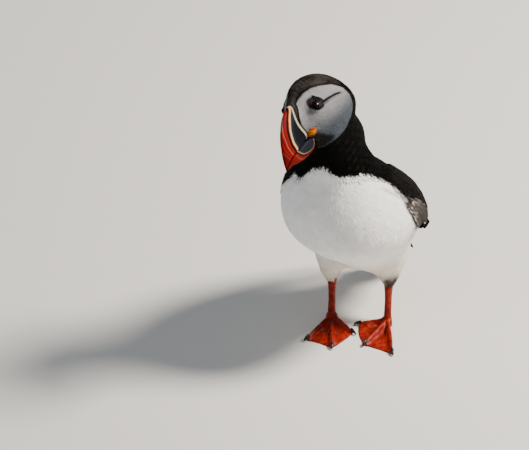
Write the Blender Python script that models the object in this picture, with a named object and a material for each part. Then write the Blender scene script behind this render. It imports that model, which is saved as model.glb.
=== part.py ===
"""Atlantic puffin, a still life-size standing bird.

Metres, +Z up.  The bird faces -Y and its left side is +X.  The soles stand on
the plane Z = 0.  Shapes are first written in millimetres as (left, forward, up),
and `place` turns them into metres in this frame.
"""
import math

import bmesh
import bpy
from mathutils import Matrix, Vector

MM = 0.001
GAP = 0.3                      # clearance between neighbouring solids, mm

# Legs and feet, mm
SOLE_Z = 0.0
ANKLE_DOME = 6.2               # height of the foot over the joint of the toes
WEB_THICK = 1.0
TOE_RADIUS = 2.5
HEEL_PAD = 4.2
TOES = {                       # length without claw, angle from the middle toe (+ = outward)
    "right": {"inner": (21.5, -39.0), "middle": (33.0, 0.0), "outer": (29.0, 34.0)},
    "left": {"inner": (18.5, -52.0), "middle": (28.5, 2.0), "outer": (34.5, 38.0)},
}
WEB_DIP = 0.08                 # how far the edge of the web draws in between two toes
CLAW_LENGTH = 4.8
CLAW_RADIUS = 1.5
FEET = {                       # toe joint (left, forward), yaw of the middle toe towards the bird's left
    "right": ((-17.8, 4.8), 24.0),
    "left": ((18.0, -4.8), -9.0),
}
HEEL_HEIGHT = 33.0             # top of the bare tarsus
HEEL_BACK = 6.0                # how far the tarsus leans back
HEEL_LEAN = {"right": -2.3, "left": -1.6}    # towards the bird's left
# Bare shank: share of the way up, half width, half depth, mm
TARSUS = [
    (0.0, 3.0, 3.7),
    (0.2, 2.5, 3.4),
    (0.55, 2.3, 3.2),
    (0.8, 3.0, 3.9),
    (0.92, 3.6, 4.4),
    (1.0, 3.3, 3.9),
]

# Trunk: up, middle line, front, back, half width of each level section, mm
TRUNK = [
    (36.0, 0.0, -6.0, -36.0, 11.0),
    (42.0, 0.0, 3.0, -44.0, 18.5),
    (50.0, 0.0, 15.0, -49.0, 25.0),
    (60.0, 3.4, 25.5, -52.0, 25.6),
    (72.0, 3.6, 41.0, -51.0, 32.4),
    (88.0, -0.8, 57.5, -44.0, 42.3),
    (103.0, -3.5, 60.0, -34.0, 43.0),
    (118.0, -6.0, 58.0, -21.0, 38.0),
    (132.0, -8.0, 53.0, -7.5, 30.5),
    (144.0, -9.0, 48.0, 0.0, 25.0),
    (152.0, -10.0, 43.0, 4.0, 18.0),
]
# Neck: centre (left, forward, up) and half width, half depth, mm
NECK = [
    ((-6.0, 22.0, 128.0), 26.0, 28.0),
    ((-7.5, 24.0, 140.0), 25.0, 27.0),
    ((-9.5, 26.0, 152.0), 23.0, 25.0),
    ((-11.5, 26.5, 164.0), 24.0, 26.0),
    ((-15.0, 30.0, 176.0), 22.0, 22.0),
]
# Thighs: centre (left, forward, up) and radius of the left one, relative to its foot
THIGH = [
    ((0.0, -6.0, 62.0), 15.0),
    ((0.0, -5.5, 50.0), 13.5),
    ((0.5, -5.0, 41.0), 10.5),
    ((0.5, -5.0, 34.0), 7.5),
    ((0.5, -5.0, 29.5), 5.2),
]

# Head frame: origin at the base of the bill, on the line of the mouth
HEAD_AT = (-17.5, 55.0, 179.5)
HEAD_YAW = -1.0                # towards the bird's left
HEAD_PITCH = 4.0               # bill down
HEAD_ROLL = -24.0              # left side up
# Head: forward, half width, bottom, top, mm
HEAD = [
    (3.0, 4.5, -14.0, 17.5),
    (-4.0, 11.2, -18.5, 21.0),
    (-12.0, 17.0, -21.5, 23.2),
    (-20.0, 20.9, -23.0, 24.3),
    (-28.0, 22.8, -22.0, 24.4),
    (-36.0, 22.4, -21.0, 21.6),
    (-43.0, 19.8, -16.5, 17.2),
    (-46.5, 8.0, -3.0, 9.0),
]
# Upper bill: forward, half width, edge of the mouth, culmen, mm
BILL_UPPER = [
    (-1.5, 6.8, -4.0, 19.5),
    (5.0, 6.4, -4.3, 20.3),
    (11.5, 5.6, -4.8, 18.9),
    (18.0, 4.6, -5.4, 15.0),
    (23.5, 3.6, -6.0, 9.6),
    (27.8, 2.5, -7.0, 2.8),
    (30.7, 1.5, -8.4, -3.2),
    (32.2, 0.7, -10.0, -7.6),
]
# Lower bill: forward, half width, gonys, edge of the mouth, mm
BILL_LOWER = [
    (-3.0, 6.6, -16.5, -4.3),
    (4.0, 5.9, -16.6, -4.6),
    (11.5, 5.0, -15.4, -5.1),
    (19.0, 3.9, -13.4, -5.8),
    (24.4, 2.8, -11.5, -6.5),
    (28.6, 1.4, -10.2, -7.7),
]
CROWN_LEAN = -1.7              # how far the crown leans to the bird's left, mm
BILL_SLANT = 2.6               # how much further forward the bill starts at the mouth than at the brow
EYE_AT = (10.6, -10.4, 11.0)
EYE_RADIUS = 4.3
ROSETTE_AT = (6.0, -1.2, -2.4)
ROSETTE_SIZE = (2.6, 4.2, 4.4)

# Folded wing, left: level, and the two angles round the body from the front, degrees,
# at which its front and back edges lie; thickness, mm
WING = [
    (127.0, 86.0, 130.0, 108.0, 2.5),
    (117.0, 96.0, 129.0, 130.0, 4.5),
    (105.0, 103.5, 120.0, 146.0, 6.0),
    (92.0, 107.5, 108.0, 156.0, 6.0),
    (78.0, 110.0, 93.0, 163.0, 5.5),
    (65.0, 119.0, 77.0, 168.0, 5.0),
    (52.5, 126.0, 61.0, 171.0, 4.0),
    (42.0, 145.0, 46.0, 172.0, 3.0),
    (33.0, 155.0, 34.0, 169.0, 2.0),
]
# Guide that the wings lie on: up, middle line, front, back, half width, mm
MANTLE = [
    (28.0, 0.0, -24.0, -66.0, 12.0),
    (36.0, 0.0, -16.0, -66.0, 19.0),
    (50.0, 0.0, 2.0, -62.0, 28.0),
    (60.0, -0.5, 28.0, -58.5, 34.0),
    (72.0, -0.5, 45.0, -53.0, 39.5),
    (88.0, -2.0, 57.5, -45.5, 44.0),
    (103.0, -3.5, 60.0, -35.0, 43.5),
    (118.0, -6.0, 58.0, -22.0, 38.5),
    (134.0, -8.0, 53.0, -7.0, 29.5),
]
# Tail: forward, up, half width, half thickness, mm
TAIL = [
    (-34.0, 52.0, 8.5, 6.0),
    (-46.0, 43.0, 9.5, 4.2),
    (-55.0, 33.5, 10.5, 2.6),
    (-61.0, 25.0, 11.5, 1.5),
    (-64.5, 19.0, 11.0, 0.9),
    (-66.0, 15.5, 7.5, 0.6),
]

# Planes where the head leaves the neck and the neck leaves the trunk:
# a point (left, forward, up) in mm, roll and pitch in degrees
HEAD_CUT = ((-14.0, 34.0, 159.0), -16.0, -6.0)
NECK_CUT = ((-9.0, 25.0, 141.0), -8.0, -14.0)
CUT_BOX = 200.0
# Box of the flesh that is the feathered thigh: height of its middle and its size, mm
THIGH_LEVEL = 33.0
THIGH_BOX = (30.0, 40.0, 24.0)

# The one flesh form that head, neck, trunk and thighs are cut from
FLESH_VOXEL = 2.0              # mm
FLESH_SMOOTHING = 18
FLESH_KEPT = 0.08              # share of the fine triangles that stay

COLOURS = {                    # base colour, roughness
    "black_plumage": ((0.012, 0.011, 0.012), 0.75),
    "white_plumage": ((0.72, 0.70, 0.66), 0.8),
    "grey_plumage": ((0.42, 0.42, 0.43), 0.8),
    "bill_horn": ((0.55, 0.07, 0.02), 0.35),
    "rosette_skin": ((0.75, 0.25, 0.02), 0.5),
    "eye_glaze": ((0.02, 0.012, 0.01), 0.05),
    "leg_skin": ((0.62, 0.06, 0.015), 0.45),
    "claw_horn": ((0.02, 0.018, 0.017), 0.4),
}


def clear_scene():
    for obj in list(bpy.data.objects):
        bpy.data.objects.remove(obj, do_unlink=True)


def material(name):
    """The Principled material of one of the named finishes."""
    found = bpy.data.materials.get(name)
    if found:
        return found
    colour, roughness = COLOURS[name]
    made = bpy.data.materials.new(name)
    made.use_nodes = True
    shader = made.node_tree.nodes["Principled BSDF"]
    shader.inputs["Base Color"].default_value = (*colour, 1.0)
    shader.inputs["Roughness"].default_value = roughness
    shader.inputs["Metallic"].default_value = 0.0
    return made


def place(point):
    """(left, forward, up) in mm to this frame in metres."""
    left, forward, up = point
    return Vector((left, -forward, up)) * MM


def head_matrix():
    turn = (Matrix.Rotation(math.radians(HEAD_YAW), 4, "Z")
            @ Matrix.Rotation(math.radians(HEAD_PITCH), 4, "X")
            @ Matrix.Rotation(math.radians(HEAD_ROLL), 4, "Y"))
    return Matrix.Translation(place(HEAD_AT)) @ turn


def lerp(a, b, t):
    return a + (b - a) * t


def smooth_rows(rows, steps):
    """Rows of numbers read along a Catmull-Rom curve, with `steps` rows per interval."""
    out = []
    last = len(rows) - 1
    for i in range(last):
        p0, p1, p2, p3 = (rows[max(i - 1, 0)], rows[i], rows[i + 1], rows[min(i + 2, last)])
        for k in range(steps):
            t = k / steps
            out.append([0.5 * (2 * b + (c - a) * t + (2 * a - 5 * b + 4 * c - d) * t ** 2
                               + (3 * b - a - 3 * c + d) * t ** 3)
                        for a, b, c, d in zip(p0, p1, p2, p3)])
    out.append(list(rows[last]))
    return out


def row_at(rows, value):
    """The row whose first number is `value`, between the two rows that hold it."""
    value = min(max(value, rows[0][0]), rows[-1][0])
    for low, high in zip(rows, rows[1:]):
        if value <= high[0]:
            t = (value - low[0]) / (high[0] - low[0])
            return [lerp(a, b, t) for a, b in zip(low, high)]
    return rows[-1]


def oval(angle, power=1.0):
    """Unit oval: power 1 is a circle, under 1 is squarer, over 1 is leaner."""
    c, s = math.cos(angle), math.sin(angle)
    return math.copysign(abs(c) ** power, c), math.copysign(abs(s) ** power, s)


def loft(rings, matrix=None, flat_ends=False):
    """A closed bmesh through rings of (left, forward, up) points.

    Each end is a fan, or on a flat curved ring a ladder between its two sides.
    """
    bm = bmesh.new()
    loops = [[bm.verts.new(place(p)) for p in ring] for ring in rings]
    count = len(loops[0])
    for low, high in zip(loops, loops[1:]):
        for i in range(count):
            j = (i + 1) % count
            bm.faces.new((low[i], low[j], high[j], high[i]))
    for loop in (loops[0], loops[-1]):
        if flat_ends:
            for i in range(count // 2 - 1):
                bm.faces.new((loop[i], loop[i + 1], loop[-2 - i], loop[-1 - i]))
            continue
        middle = sum((v.co for v in loop), Vector()) / count
        tip = bm.verts.new(middle)
        for i in range(count):
            bm.faces.new((loop[i], loop[(i + 1) % count], tip))
    bmesh.ops.recalc_face_normals(bm, faces=bm.faces)
    if matrix:
        bmesh.ops.transform(bm, matrix=matrix, verts=bm.verts)
    return bm


def make_object(name, bm, finish=None):
    mesh = bpy.data.meshes.new(name)
    bmesh.ops.triangulate(bm, faces=bm.faces)
    bm.to_mesh(mesh)
    bm.free()
    obj = bpy.data.objects.new(name, mesh)
    bpy.context.scene.collection.objects.link(obj)
    if finish:
        mesh.materials.append(material(finish))
        mesh.shade_smooth()
        mesh.set_sharp_from_angle(angle=math.radians(50))
    return obj


def make_cutter(name, bm):
    obj = make_object(name, bm)
    obj.hide_render = True
    obj.display_type = "WIRE"
    return obj


def inflated(obj, name):
    """A cutter the shape of obj, larger by the gap all round."""
    bm = bmesh.new()
    bm.from_mesh(obj.data)
    bm.normal_update()
    for vert in bm.verts:
        vert.co += vert.normal * GAP * MM * min(vert.calc_shell_factor(), 3.0)
    return make_cutter(name, bm)


def boolean(obj, cutter, operation):
    mod = obj.modifiers.new(operation.lower() + "_" + cutter.name, "BOOLEAN")
    mod.object = cutter
    mod.operation = operation
    mod.solver = "EXACT"


def trunk_bmesh(steps=3, sides=32):
    rings = []
    for up, middle, front, back, half in smooth_rows(TRUNK, steps):
        centre, depth = (front + back) / 2, (front - back) / 2
        ring = []
        for i in range(sides):
            s, c = oval(2 * math.pi * i / sides, 0.94)
            ring.append((middle + half * c, centre + depth * s, up))
        rings.append(ring)
    return loft(rings)


def tube_bmesh(rows, steps=3, sides=24, mirror=1.0, at=(0.0, 0.0)):
    """A tube of level oval sections: rows of centre, half width and half depth."""
    flat = [(*centre, *size) for centre, *size in rows]
    rings = []
    for left, forward, up, half, depth in smooth_rows(flat, steps):
        ring = []
        for i in range(sides):
            a = 2 * math.pi * i / sides
            ring.append((at[0] + mirror * left + half * math.cos(a),
                         at[1] + forward + depth * math.sin(a), up))
        rings.append(ring)
    return loft(rings)


def head_bmesh(steps=4, sides=32):
    """Sections across the head: lean over the crown, full at the cheeks."""
    rings = []
    for forward, half, low, high in smooth_rows(HEAD, steps):
        centre = lerp(low, high, 0.42)
        ring = []
        for i in range(sides):
            a = 2 * math.pi * i / sides
            power = 1.05 if math.sin(a) > 0 else 0.95
            c, s = oval(a, 1.0)
            reach = high - centre if s > 0 else centre - low
            up = centre + reach * s
            lean = CROWN_LEAN * max(up, 0.0) / high
            ring.append((half * math.copysign(abs(c) ** power, c) + lean, forward, up))
        rings.append(ring)
    return loft(rings, head_matrix())


def bill_bmesh(rows, ridge_up, steps=2, sides=14):
    """A deep thin blade whose sides draw in towards the culmen or the gonys."""
    rings = []
    length = rows[-1][0]
    for forward, half, low, high in smooth_rows(rows, steps):
        slant = BILL_SLANT * (1.0 - max(forward, 0.0) / length)
        ring = []
        for i in range(sides):
            c, s = oval(2 * math.pi * i / sides, 0.8)
            up = lerp(low, high, 0.5 + 0.5 * s)
            share = 0.5 + 0.5 * s if ridge_up else 0.5 - 0.5 * s
            ring.append((half * c * (1.0 - 0.55 * share ** 1.6), forward + slant * (1.0 - share), up))
        rings.append(ring)
    return loft(rings, head_matrix())


def ball_bmesh(at, size, side, segments, rings):
    bm = bmesh.new()
    bmesh.ops.create_uvsphere(bm, u_segments=segments, v_segments=rings, radius=1.0)
    scale = Matrix.Diagonal((*[s * MM for s in size], 1.0))
    left, forward, up = at
    move = Matrix.Translation(place((side * left, forward, up)))
    bmesh.ops.transform(bm, matrix=head_matrix() @ move @ scale, verts=bm.verts)
    return bm


def mantle_point(side, up, angle, out):
    """A point `out` mm off the guide of the wings, at a level and an angle from the front."""
    _, middle, front, back, half = row_at(MANTLE, up)
    centre, depth = (front + back) / 2, (front - back) / 2
    a = math.radians(angle)
    return (middle + side * (half + out) * math.sin(a), centre + (depth + out) * math.cos(a), up)


def wing_bmesh(side, steps=2, across=7):
    """A thin curved shell round the body, from the bend of the wing to its tip."""
    rings = []
    for front_up, front_angle, back_up, back_angle, thick in smooth_rows(WING, steps):
        outer, inner = [], []
        for k in range(across):
            t = k / (across - 1)
            up, angle = lerp(front_up, back_up, t), lerp(front_angle, back_angle, t)
            swell = 0.28 + 0.72 * math.sin(math.pi * min(max(t, 0.0), 1.0)) ** 0.6
            outer.append(mantle_point(side, up, angle, 0.5 + 0.6 * thick * swell))
            inner.append(mantle_point(side, up, angle, 0.5 - 0.4 * thick * swell))
        rings.append(outer + inner[::-1])
    return loft(rings, flat_ends=True)


def tail_bmesh(steps=2, sides=12):
    rings = []
    rows = smooth_rows(TAIL, steps)
    for i, (forward, up, half, thick) in enumerate(rows):
        before, after = rows[max(i - 1, 0)], rows[min(i + 1, len(rows) - 1)]
        along = Vector((after[0] - before[0], after[1] - before[1])).normalized()
        ring = []
        for k in range(sides):
            c, s = oval(2 * math.pi * k / sides, 0.85)
            droop = 0.1 * half * c * c
            off = thick * s + droop
            ring.append((half * c, forward + along.y * off, up - along.x * off - droop))
        rings.append(ring)
    return loft(rings)


def toes_of(side):
    """The toes of a foot in order, from the innermost: length and angle."""
    return sorted(TOES[side_name(side)].values(), key=lambda toe: toe[1])


def web_reach(toes, angle):
    """How far the foot reaches from the toe joint at an angle from the middle toe."""
    if angle < toes[0][1] or angle > toes[-1][1]:
        past = max(toes[0][1] - angle, angle - toes[-1][1])
        edge = toes[0][0] if angle < 0 else toes[-1][0]
        fade = math.exp(-past / 7.0)
        return max(HEEL_PAD, edge * fade)
    for (short, low), (length, high) in zip(toes, toes[1:]):
        if angle <= high:
            t = (angle - low) / (high - low)
            return lerp(short, length, t) * (1.0 - WEB_DIP * math.sin(math.pi * t) ** 0.8)
    return HEEL_PAD


def foot_height(toes, angle, radius):
    """Height of the top of the foot: the web, the three toes on it and the joint."""
    height = WEB_THICK
    for length, toe_angle in toes:
        off = radius * math.sin(math.radians(angle - toe_angle))
        ahead = radius * math.cos(math.radians(angle - toe_angle))
        if ahead <= 0:
            continue
        thick = lerp(TOE_RADIUS, 0.68 * TOE_RADIUS, ahead / length)
        if abs(off) < thick:
            height = max(height, WEB_THICK + (2 * thick - WEB_THICK) * (1 - (off / thick) ** 2) ** 0.6)
    dome = max(0.0, 1.0 - (radius / (1.6 * HEEL_PAD)) ** 2)
    return max(height, lerp(WEB_THICK, ANKLE_DOME, dome ** 0.7))


def foot_angles(toes):
    """Angles of the spokes of the foot, close together along the toes."""
    spokes = set()
    for _, toe_angle in toes:
        spokes.update(toe_angle + step for step in (-6.0, -3.0, 0.0, 3.0, 6.0))
    for (_, low), (_, high) in zip(toes, toes[1:]):
        spokes.update(lerp(low, high, t) for t in (0.36, 0.5, 0.64))
    for past in (11, 20, 40):
        spokes.update((toes[-1][1] + past, toes[0][1] - past))
    spokes.update((108, 140, 180, -108, -140))
    return sorted(spokes)


def foot_bmesh(side):
    """A webbed foot as a wheel of spokes: flat sole, rounded toes above a thin web."""
    (left, forward), yaw = FEET["left" if side > 0 else "right"]
    outward = side
    toes = toes_of(side)
    shares = (0.16, 0.34, 0.52, 0.70, 0.86, 1.0)
    bm = bmesh.new()
    hub_top = bm.verts.new(place((left, forward, ANKLE_DOME)))
    hub_sole = bm.verts.new(place((left, forward, SOLE_Z)))
    columns = []
    for angle in foot_angles(toes):
        reach = web_reach(toes, angle)
        heading = math.radians(outward * angle + yaw)
        column = []
        for share in shares:
            radius = reach * share
            height = foot_height(toes, angle, radius)
            if share == 1.0:
                height = max(0.62 * height, 0.8)
            column.append(bm.verts.new(place((left + radius * math.sin(heading),
                                              forward + radius * math.cos(heading), height))))
        column.append(bm.verts.new(place((left + reach * math.sin(heading),
                                          forward + reach * math.cos(heading), SOLE_Z))))
        columns.append(column)
    for one, two in zip(columns, columns[1:] + columns[:1]):
        bm.faces.new((hub_top, one[0], two[0]))
        for k in range(len(shares)):
            bm.faces.new((one[k], one[k + 1], two[k + 1], two[k]))
        bm.faces.new((hub_sole, two[-1], one[-1]))
    bmesh.ops.recalc_face_normals(bm, faces=bm.faces)
    return bm


def tarsus_bmesh(side, steps=2, sides=10):
    """The bare shank, wider fore and aft, with a knob at the heel."""
    (left, forward), _ = FEET["left" if side > 0 else "right"]
    lean = HEEL_LEAN[side_name(side)]
    rows = []
    for share, half, depth in TARSUS:
        centre = (left + lean * share, forward - HEEL_BACK * share,
                  lerp(3.0, HEEL_HEIGHT, share))
        rows.append((centre, half, depth))
    return tube_bmesh(rows, steps, sides)


def claw_bmesh(side, toe, steps=4, sides=6):
    """A short hooked claw that curves down from the end of its toe to the ground."""
    (left, forward), yaw = FEET["left" if side > 0 else "right"]
    length, angle = TOES[side_name(side)][toe]
    heading = math.radians(side * angle + yaw)
    rings = []
    for k in range(steps + 1):
        t = k / steps
        reach = length + GAP + 0.5 + (CLAW_LENGTH - 0.8) * math.sin(t * math.pi / 2) ** 0.9
        up = 0.25 + 2.0 * math.cos(t * math.pi / 2) ** 0.8
        radius = lerp(CLAW_RADIUS, 0.2 * CLAW_RADIUS, t)
        ring = []
        for i in range(sides):
            a = 2 * math.pi * i / sides
            across = 0.75 * radius * math.cos(a)
            rise = radius * math.sin(a)
            ring.append((left + reach * math.sin(heading) + across * math.cos(heading),
                         forward + reach * math.cos(heading) - across * math.sin(heading),
                         max(up + rise, 0.12)))
        rings.append(ring)
    return loft(rings)


def flesh_mesh():
    """Head, neck, trunk and thighs melted into one smooth closed form."""
    whole = bmesh.new()
    forms = [trunk_bmesh(), tube_bmesh(NECK), head_bmesh()]
    for side, foot in ((1, "left"), (-1, "right")):
        (left, forward), _ = FEET[foot]
        rows = [(centre, radius, radius * 1.12) for centre, radius in THIGH]
        forms.append(tube_bmesh(rows, 3, 20, side, (left + HEEL_LEAN[foot], forward)))
    for form in forms:
        scratch = bpy.data.meshes.new("form")
        form.to_mesh(scratch)
        form.free()
        whole.from_mesh(scratch)
        bpy.data.meshes.remove(scratch)
    body = make_cutter("flesh_guide", whole)
    remesh = body.modifiers.new("melt", "REMESH")
    remesh.mode = "VOXEL"
    remesh.voxel_size = FLESH_VOXEL * MM
    smooth = body.modifiers.new("smooth", "SMOOTH")
    smooth.factor = 0.5
    smooth.iterations = FLESH_SMOOTHING
    thin = body.modifiers.new("thin", "DECIMATE")
    thin.ratio = FLESH_KEPT
    graph = bpy.context.evaluated_depsgraph_get()
    mesh = bpy.data.meshes.new_from_object(body.evaluated_get(graph))
    bpy.data.objects.remove(body, do_unlink=True)
    return mesh


def slab(name, centre, size, turn=None):
    """A box cutter: centre and size in mm as (left, forward, up)."""
    bm = bmesh.new()
    bmesh.ops.create_cube(bm, size=1.0)
    matrix = Matrix.Translation(place(centre)) @ (turn or Matrix()) @ Matrix.Diagonal(
        (size[0] * MM, size[1] * MM, size[2] * MM, 1.0))
    bmesh.ops.transform(bm, matrix=matrix, verts=bm.verts)
    return make_cutter(name, bm)


def flesh_node(name, mesh, finish):
    obj = bpy.data.objects.new(name, mesh.copy())
    obj.data.materials.clear()
    obj.data.materials.append(material(finish))
    obj.data.shade_smooth()
    bpy.context.scene.collection.objects.link(obj)
    return obj


def side_name(side):
    return "left" if side > 0 else "right"


def stand_at_origin():
    """Move everything so that the middle of the whole bird's box, at floor level, is the origin."""
    graph = bpy.context.evaluated_depsgraph_get()
    points = []
    for obj in bpy.data.objects:
        if not obj.hide_render:
            points.extend(obj.evaluated_get(graph).data.vertices)
    across = [vert.co.x for vert in points]
    along = [vert.co.y for vert in points]
    middle = Vector(((min(across) + max(across)) / 2, (min(along) + max(along)) / 2, 0.0))
    for obj in bpy.data.objects:
        obj.location -= middle


def half_space(name, cut, above):
    """A box that fills the side of a tilted plane given by the sign, half the gap away from it."""
    (left, forward, up), roll, pitch = cut
    turn = Matrix.Rotation(math.radians(roll), 4, "Y") @ Matrix.Rotation(math.radians(pitch), 4, "X")
    shift = (turn @ Vector((0, 0, 1))) * (CUT_BOX + GAP) / 2 * above
    return slab(name, (left + shift.x, forward - shift.y, up + shift.z), (CUT_BOX,) * 3, turn)


def build():
    clear_scene()
    flesh = flesh_mesh()

    above_head = half_space("above_head_cut", HEAD_CUT, 1)
    below_head = half_space("below_head_cut", HEAD_CUT, -1)
    above_neck = half_space("above_neck_cut", NECK_CUT, 1)
    below_neck = half_space("below_neck_cut", NECK_CUT, -1)

    head = flesh_node("head", flesh, "grey_plumage")
    boolean(head, above_head, "INTERSECT")
    neck = flesh_node("neck", flesh, "black_plumage")
    boolean(neck, below_head, "INTERSECT")
    boolean(neck, above_neck, "INTERSECT")
    trunk = flesh_node("trunk", flesh, "white_plumage")
    boolean(trunk, below_neck, "INTERSECT")

    for part, rows, ridge_up in (("bill_upper", BILL_UPPER, True), ("bill_lower", BILL_LOWER, False)):
        bill = make_object(part, bill_bmesh(rows, ridge_up), "bill_horn")
        boolean(head, inflated(bill, part + "_room"), "DIFFERENCE")

    for side in (1, -1):
        where = side_name(side)
        eye = make_object("eye_" + where, ball_bmesh(EYE_AT, (EYE_RADIUS,) * 3, side, 14, 8), "eye_glaze")
        boolean(head, inflated(eye, "eye_room_" + where), "DIFFERENCE")
        rosette = make_object("rosette_" + where, ball_bmesh(ROSETTE_AT, ROSETTE_SIZE, side, 10, 6),
                              "rosette_skin")
        boolean(head, inflated(rosette, "rosette_room_" + where), "DIFFERENCE")
        for part in ("bill_upper_room", "bill_lower_room"):
            boolean(rosette, bpy.data.objects[part], "DIFFERENCE")

        wing = make_object("wing_" + where, wing_bmesh(side), "black_plumage")
        boolean(trunk, inflated(wing, "wing_room_" + where), "DIFFERENCE")

        foot = make_object("foot_" + where, foot_bmesh(side), "leg_skin")
        tarsus = make_object("tarsus_" + where, tarsus_bmesh(side), "leg_skin")
        boolean(tarsus, inflated(foot, "foot_room_" + where), "DIFFERENCE")
        for toe in TOES[where]:
            claw = make_object("claw_%s_%s" % (toe, where), claw_bmesh(side, toe), "claw_horn")
            boolean(claw, bpy.data.objects["foot_room_" + where], "DIFFERENCE")

        (left, forward), _ = FEET[where]
        box = (left + HEEL_LEAN[where], forward - 5.0, THIGH_LEVEL)
        thigh = flesh_node("thigh_" + where, flesh, "white_plumage")
        boolean(thigh, slab("thigh_box_" + where, box, THIGH_BOX), "INTERSECT")
        boolean(thigh, inflated(tarsus, "tarsus_room_" + where), "DIFFERENCE")
        room = [size + 2 * GAP for size in THIGH_BOX]
        boolean(trunk, slab("thigh_room_" + where, box, room), "DIFFERENCE")

    tail = make_object("tail", tail_bmesh(), "black_plumage")
    boolean(trunk, inflated(tail, "tail_room"), "DIFFERENCE")
    for side in (1, -1):
        boolean(tail, bpy.data.objects["wing_room_" + side_name(side)], "DIFFERENCE")

    stand_at_origin()


build()
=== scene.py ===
import math
import bmesh
import bpy
import numpy as np
from mathutils import Matrix, Vector
from mathutils.bvhtree import BVHTree


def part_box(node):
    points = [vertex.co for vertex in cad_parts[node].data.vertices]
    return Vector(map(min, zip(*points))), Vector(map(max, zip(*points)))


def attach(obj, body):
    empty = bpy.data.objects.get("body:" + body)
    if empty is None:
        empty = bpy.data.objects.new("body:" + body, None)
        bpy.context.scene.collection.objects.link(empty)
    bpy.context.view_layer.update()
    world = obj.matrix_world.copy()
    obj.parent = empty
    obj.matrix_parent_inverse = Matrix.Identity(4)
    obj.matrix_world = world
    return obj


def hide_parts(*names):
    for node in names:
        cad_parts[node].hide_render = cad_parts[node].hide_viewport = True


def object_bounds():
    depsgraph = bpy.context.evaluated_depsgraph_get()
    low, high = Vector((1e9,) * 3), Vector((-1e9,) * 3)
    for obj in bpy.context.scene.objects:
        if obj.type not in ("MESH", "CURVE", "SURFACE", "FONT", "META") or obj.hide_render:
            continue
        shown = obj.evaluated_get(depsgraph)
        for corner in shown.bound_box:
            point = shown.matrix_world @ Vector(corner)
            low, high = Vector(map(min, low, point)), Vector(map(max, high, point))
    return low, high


# Atlantic puffin, life size, standing on both feet with its head turned to its right
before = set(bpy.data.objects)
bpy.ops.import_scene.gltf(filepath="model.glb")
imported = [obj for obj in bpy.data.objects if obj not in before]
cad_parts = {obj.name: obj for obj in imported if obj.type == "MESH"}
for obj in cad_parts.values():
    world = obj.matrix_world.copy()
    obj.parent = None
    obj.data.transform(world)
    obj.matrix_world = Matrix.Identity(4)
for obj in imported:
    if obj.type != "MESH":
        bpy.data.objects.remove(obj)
cadLow, cadHigh = [np.array(corner) * 1000 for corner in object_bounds()]     # mm, as the lengths below are
dice = np.random.default_rng(24)
bothSides = (("left", 1), ("right", -1))


def srgb(text):
    # hex colour to linear
    out = []
    for k in (1, 3, 5):
        c = int(text[k:k + 2], 16) / 255
        out.append(c / 12.92 if c <= 0.04045 else ((c + 0.055) / 1.055) ** 2.4)
    return np.array(out)


def ease(low, high, x):
    t = np.clip((x - low) / (high - low), 0.0, 1.0)
    return t * t * (3 - 2 * t)


def mix(a, b, t):
    return a + (b - a) * t


def unit(v):
    return v / np.maximum(np.linalg.norm(v, axis=-1, keepdims=True), 1e-9)


def alongSurface(v, normal):
    return unit(v - normal * np.sum(v * normal, axis=-1, keepdims=True))


def waves(p, scale, seed=0):
    # smooth noise from a few crossed sines, -1 to 1
    total = 0
    for k in range(4):
        a = np.sin(np.array([12.9, 78.2, 37.7]) * (k + 1 + seed * 0.37)) * 1.4
        total = total + np.sin(p @ a / scale + 2.1 * k + seed)
    return total / 4


def smoothRows(rows, steps):
    # Catmull-Rom through rows of numbers
    rows = np.array(rows, float)
    pad = np.vstack([rows[:1], rows, rows[-1:]])
    out = []
    for a, b, c, d in zip(pad, pad[1:], pad[2:], pad[3:]):
        for t in np.arange(steps) / steps:
            out.append(0.5 * (2 * b + (c - a) * t + (2 * a - 5 * b + 4 * c - d) * t ** 2
                              + (3 * b - a - 3 * c + d) * t ** 3))
    return np.array(out + [rows[-1]])


def nearSegment(p, a, b):
    # share of the way along a segment where it is nearest to each 2-D point, and the offset from there
    t = np.clip((p - a) @ (b - a) / ((b - a) @ (b - a)), 0, 1)
    return t, p - (a + t[:, None] * (b - a))


def curveDistance(p, line):
    # distance from 2-D points to an open line, and the share of the way along it
    line = np.array(line, float)
    best = np.full(len(p), 1e9)
    share = np.zeros(len(p))
    for k, (a, b) in enumerate(zip(line, line[1:])):
        t, off = nearSegment(p, a, b)
        far = np.linalg.norm(off, axis=1)
        share = np.where(far < best, (k + t) / (len(line) - 1), share)
        best = np.minimum(best, far)
    return best, share


def insideBy(p, outline):
    # how far 2-D points lie inside a closed outline, - outside
    ring = np.array(outline + outline[:1], float)
    best = np.full(len(p), 1e9)
    inside = np.zeros(len(p), bool)
    for a, b in zip(ring, ring[1:]):
        best = np.minimum(best, np.linalg.norm(nearSegment(p, a, b)[1], axis=1))
        crosses = (a[1] > p[:, 1]) != (b[1] > p[:, 1])
        rise = np.where(crosses, b[1] - a[1], 1.0)
        at = a[0] + (p[:, 1] - a[1]) / rise * (b[0] - a[0])
        inside ^= crosses & (p[:, 0] < at)
    return np.where(inside, best, -best)


def readCurve(curve, x):
    # height of a curve of (x, height) points
    return np.interp(x, *zip(*curve))


def insideBox(p, gap=0.0):
    # nothing stands out past the CAD model
    return np.clip(p, cadLow + gap, cadHigh - gap)


def readRows(items, key, width, kind=np.float32):
    out = np.empty(len(items) * width, kind)
    items.foreach_get(key, out)
    return out.reshape(-1, width)


def meshPoints(mesh):
    return readRows(mesh.vertices, "co", 3).astype(float) * 1000


def setPoints(mesh, points):
    mesh.vertices.foreach_set("co", (points / 1000).astype(np.float32).ravel())
    mesh.update()


def meshNormals(mesh):
    return readRows(mesh.vertices, "normal", 3).astype(float)


def faceNormals(mesh):
    return readRows(mesh.polygon_normals, "vector", 3).astype(float)


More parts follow.
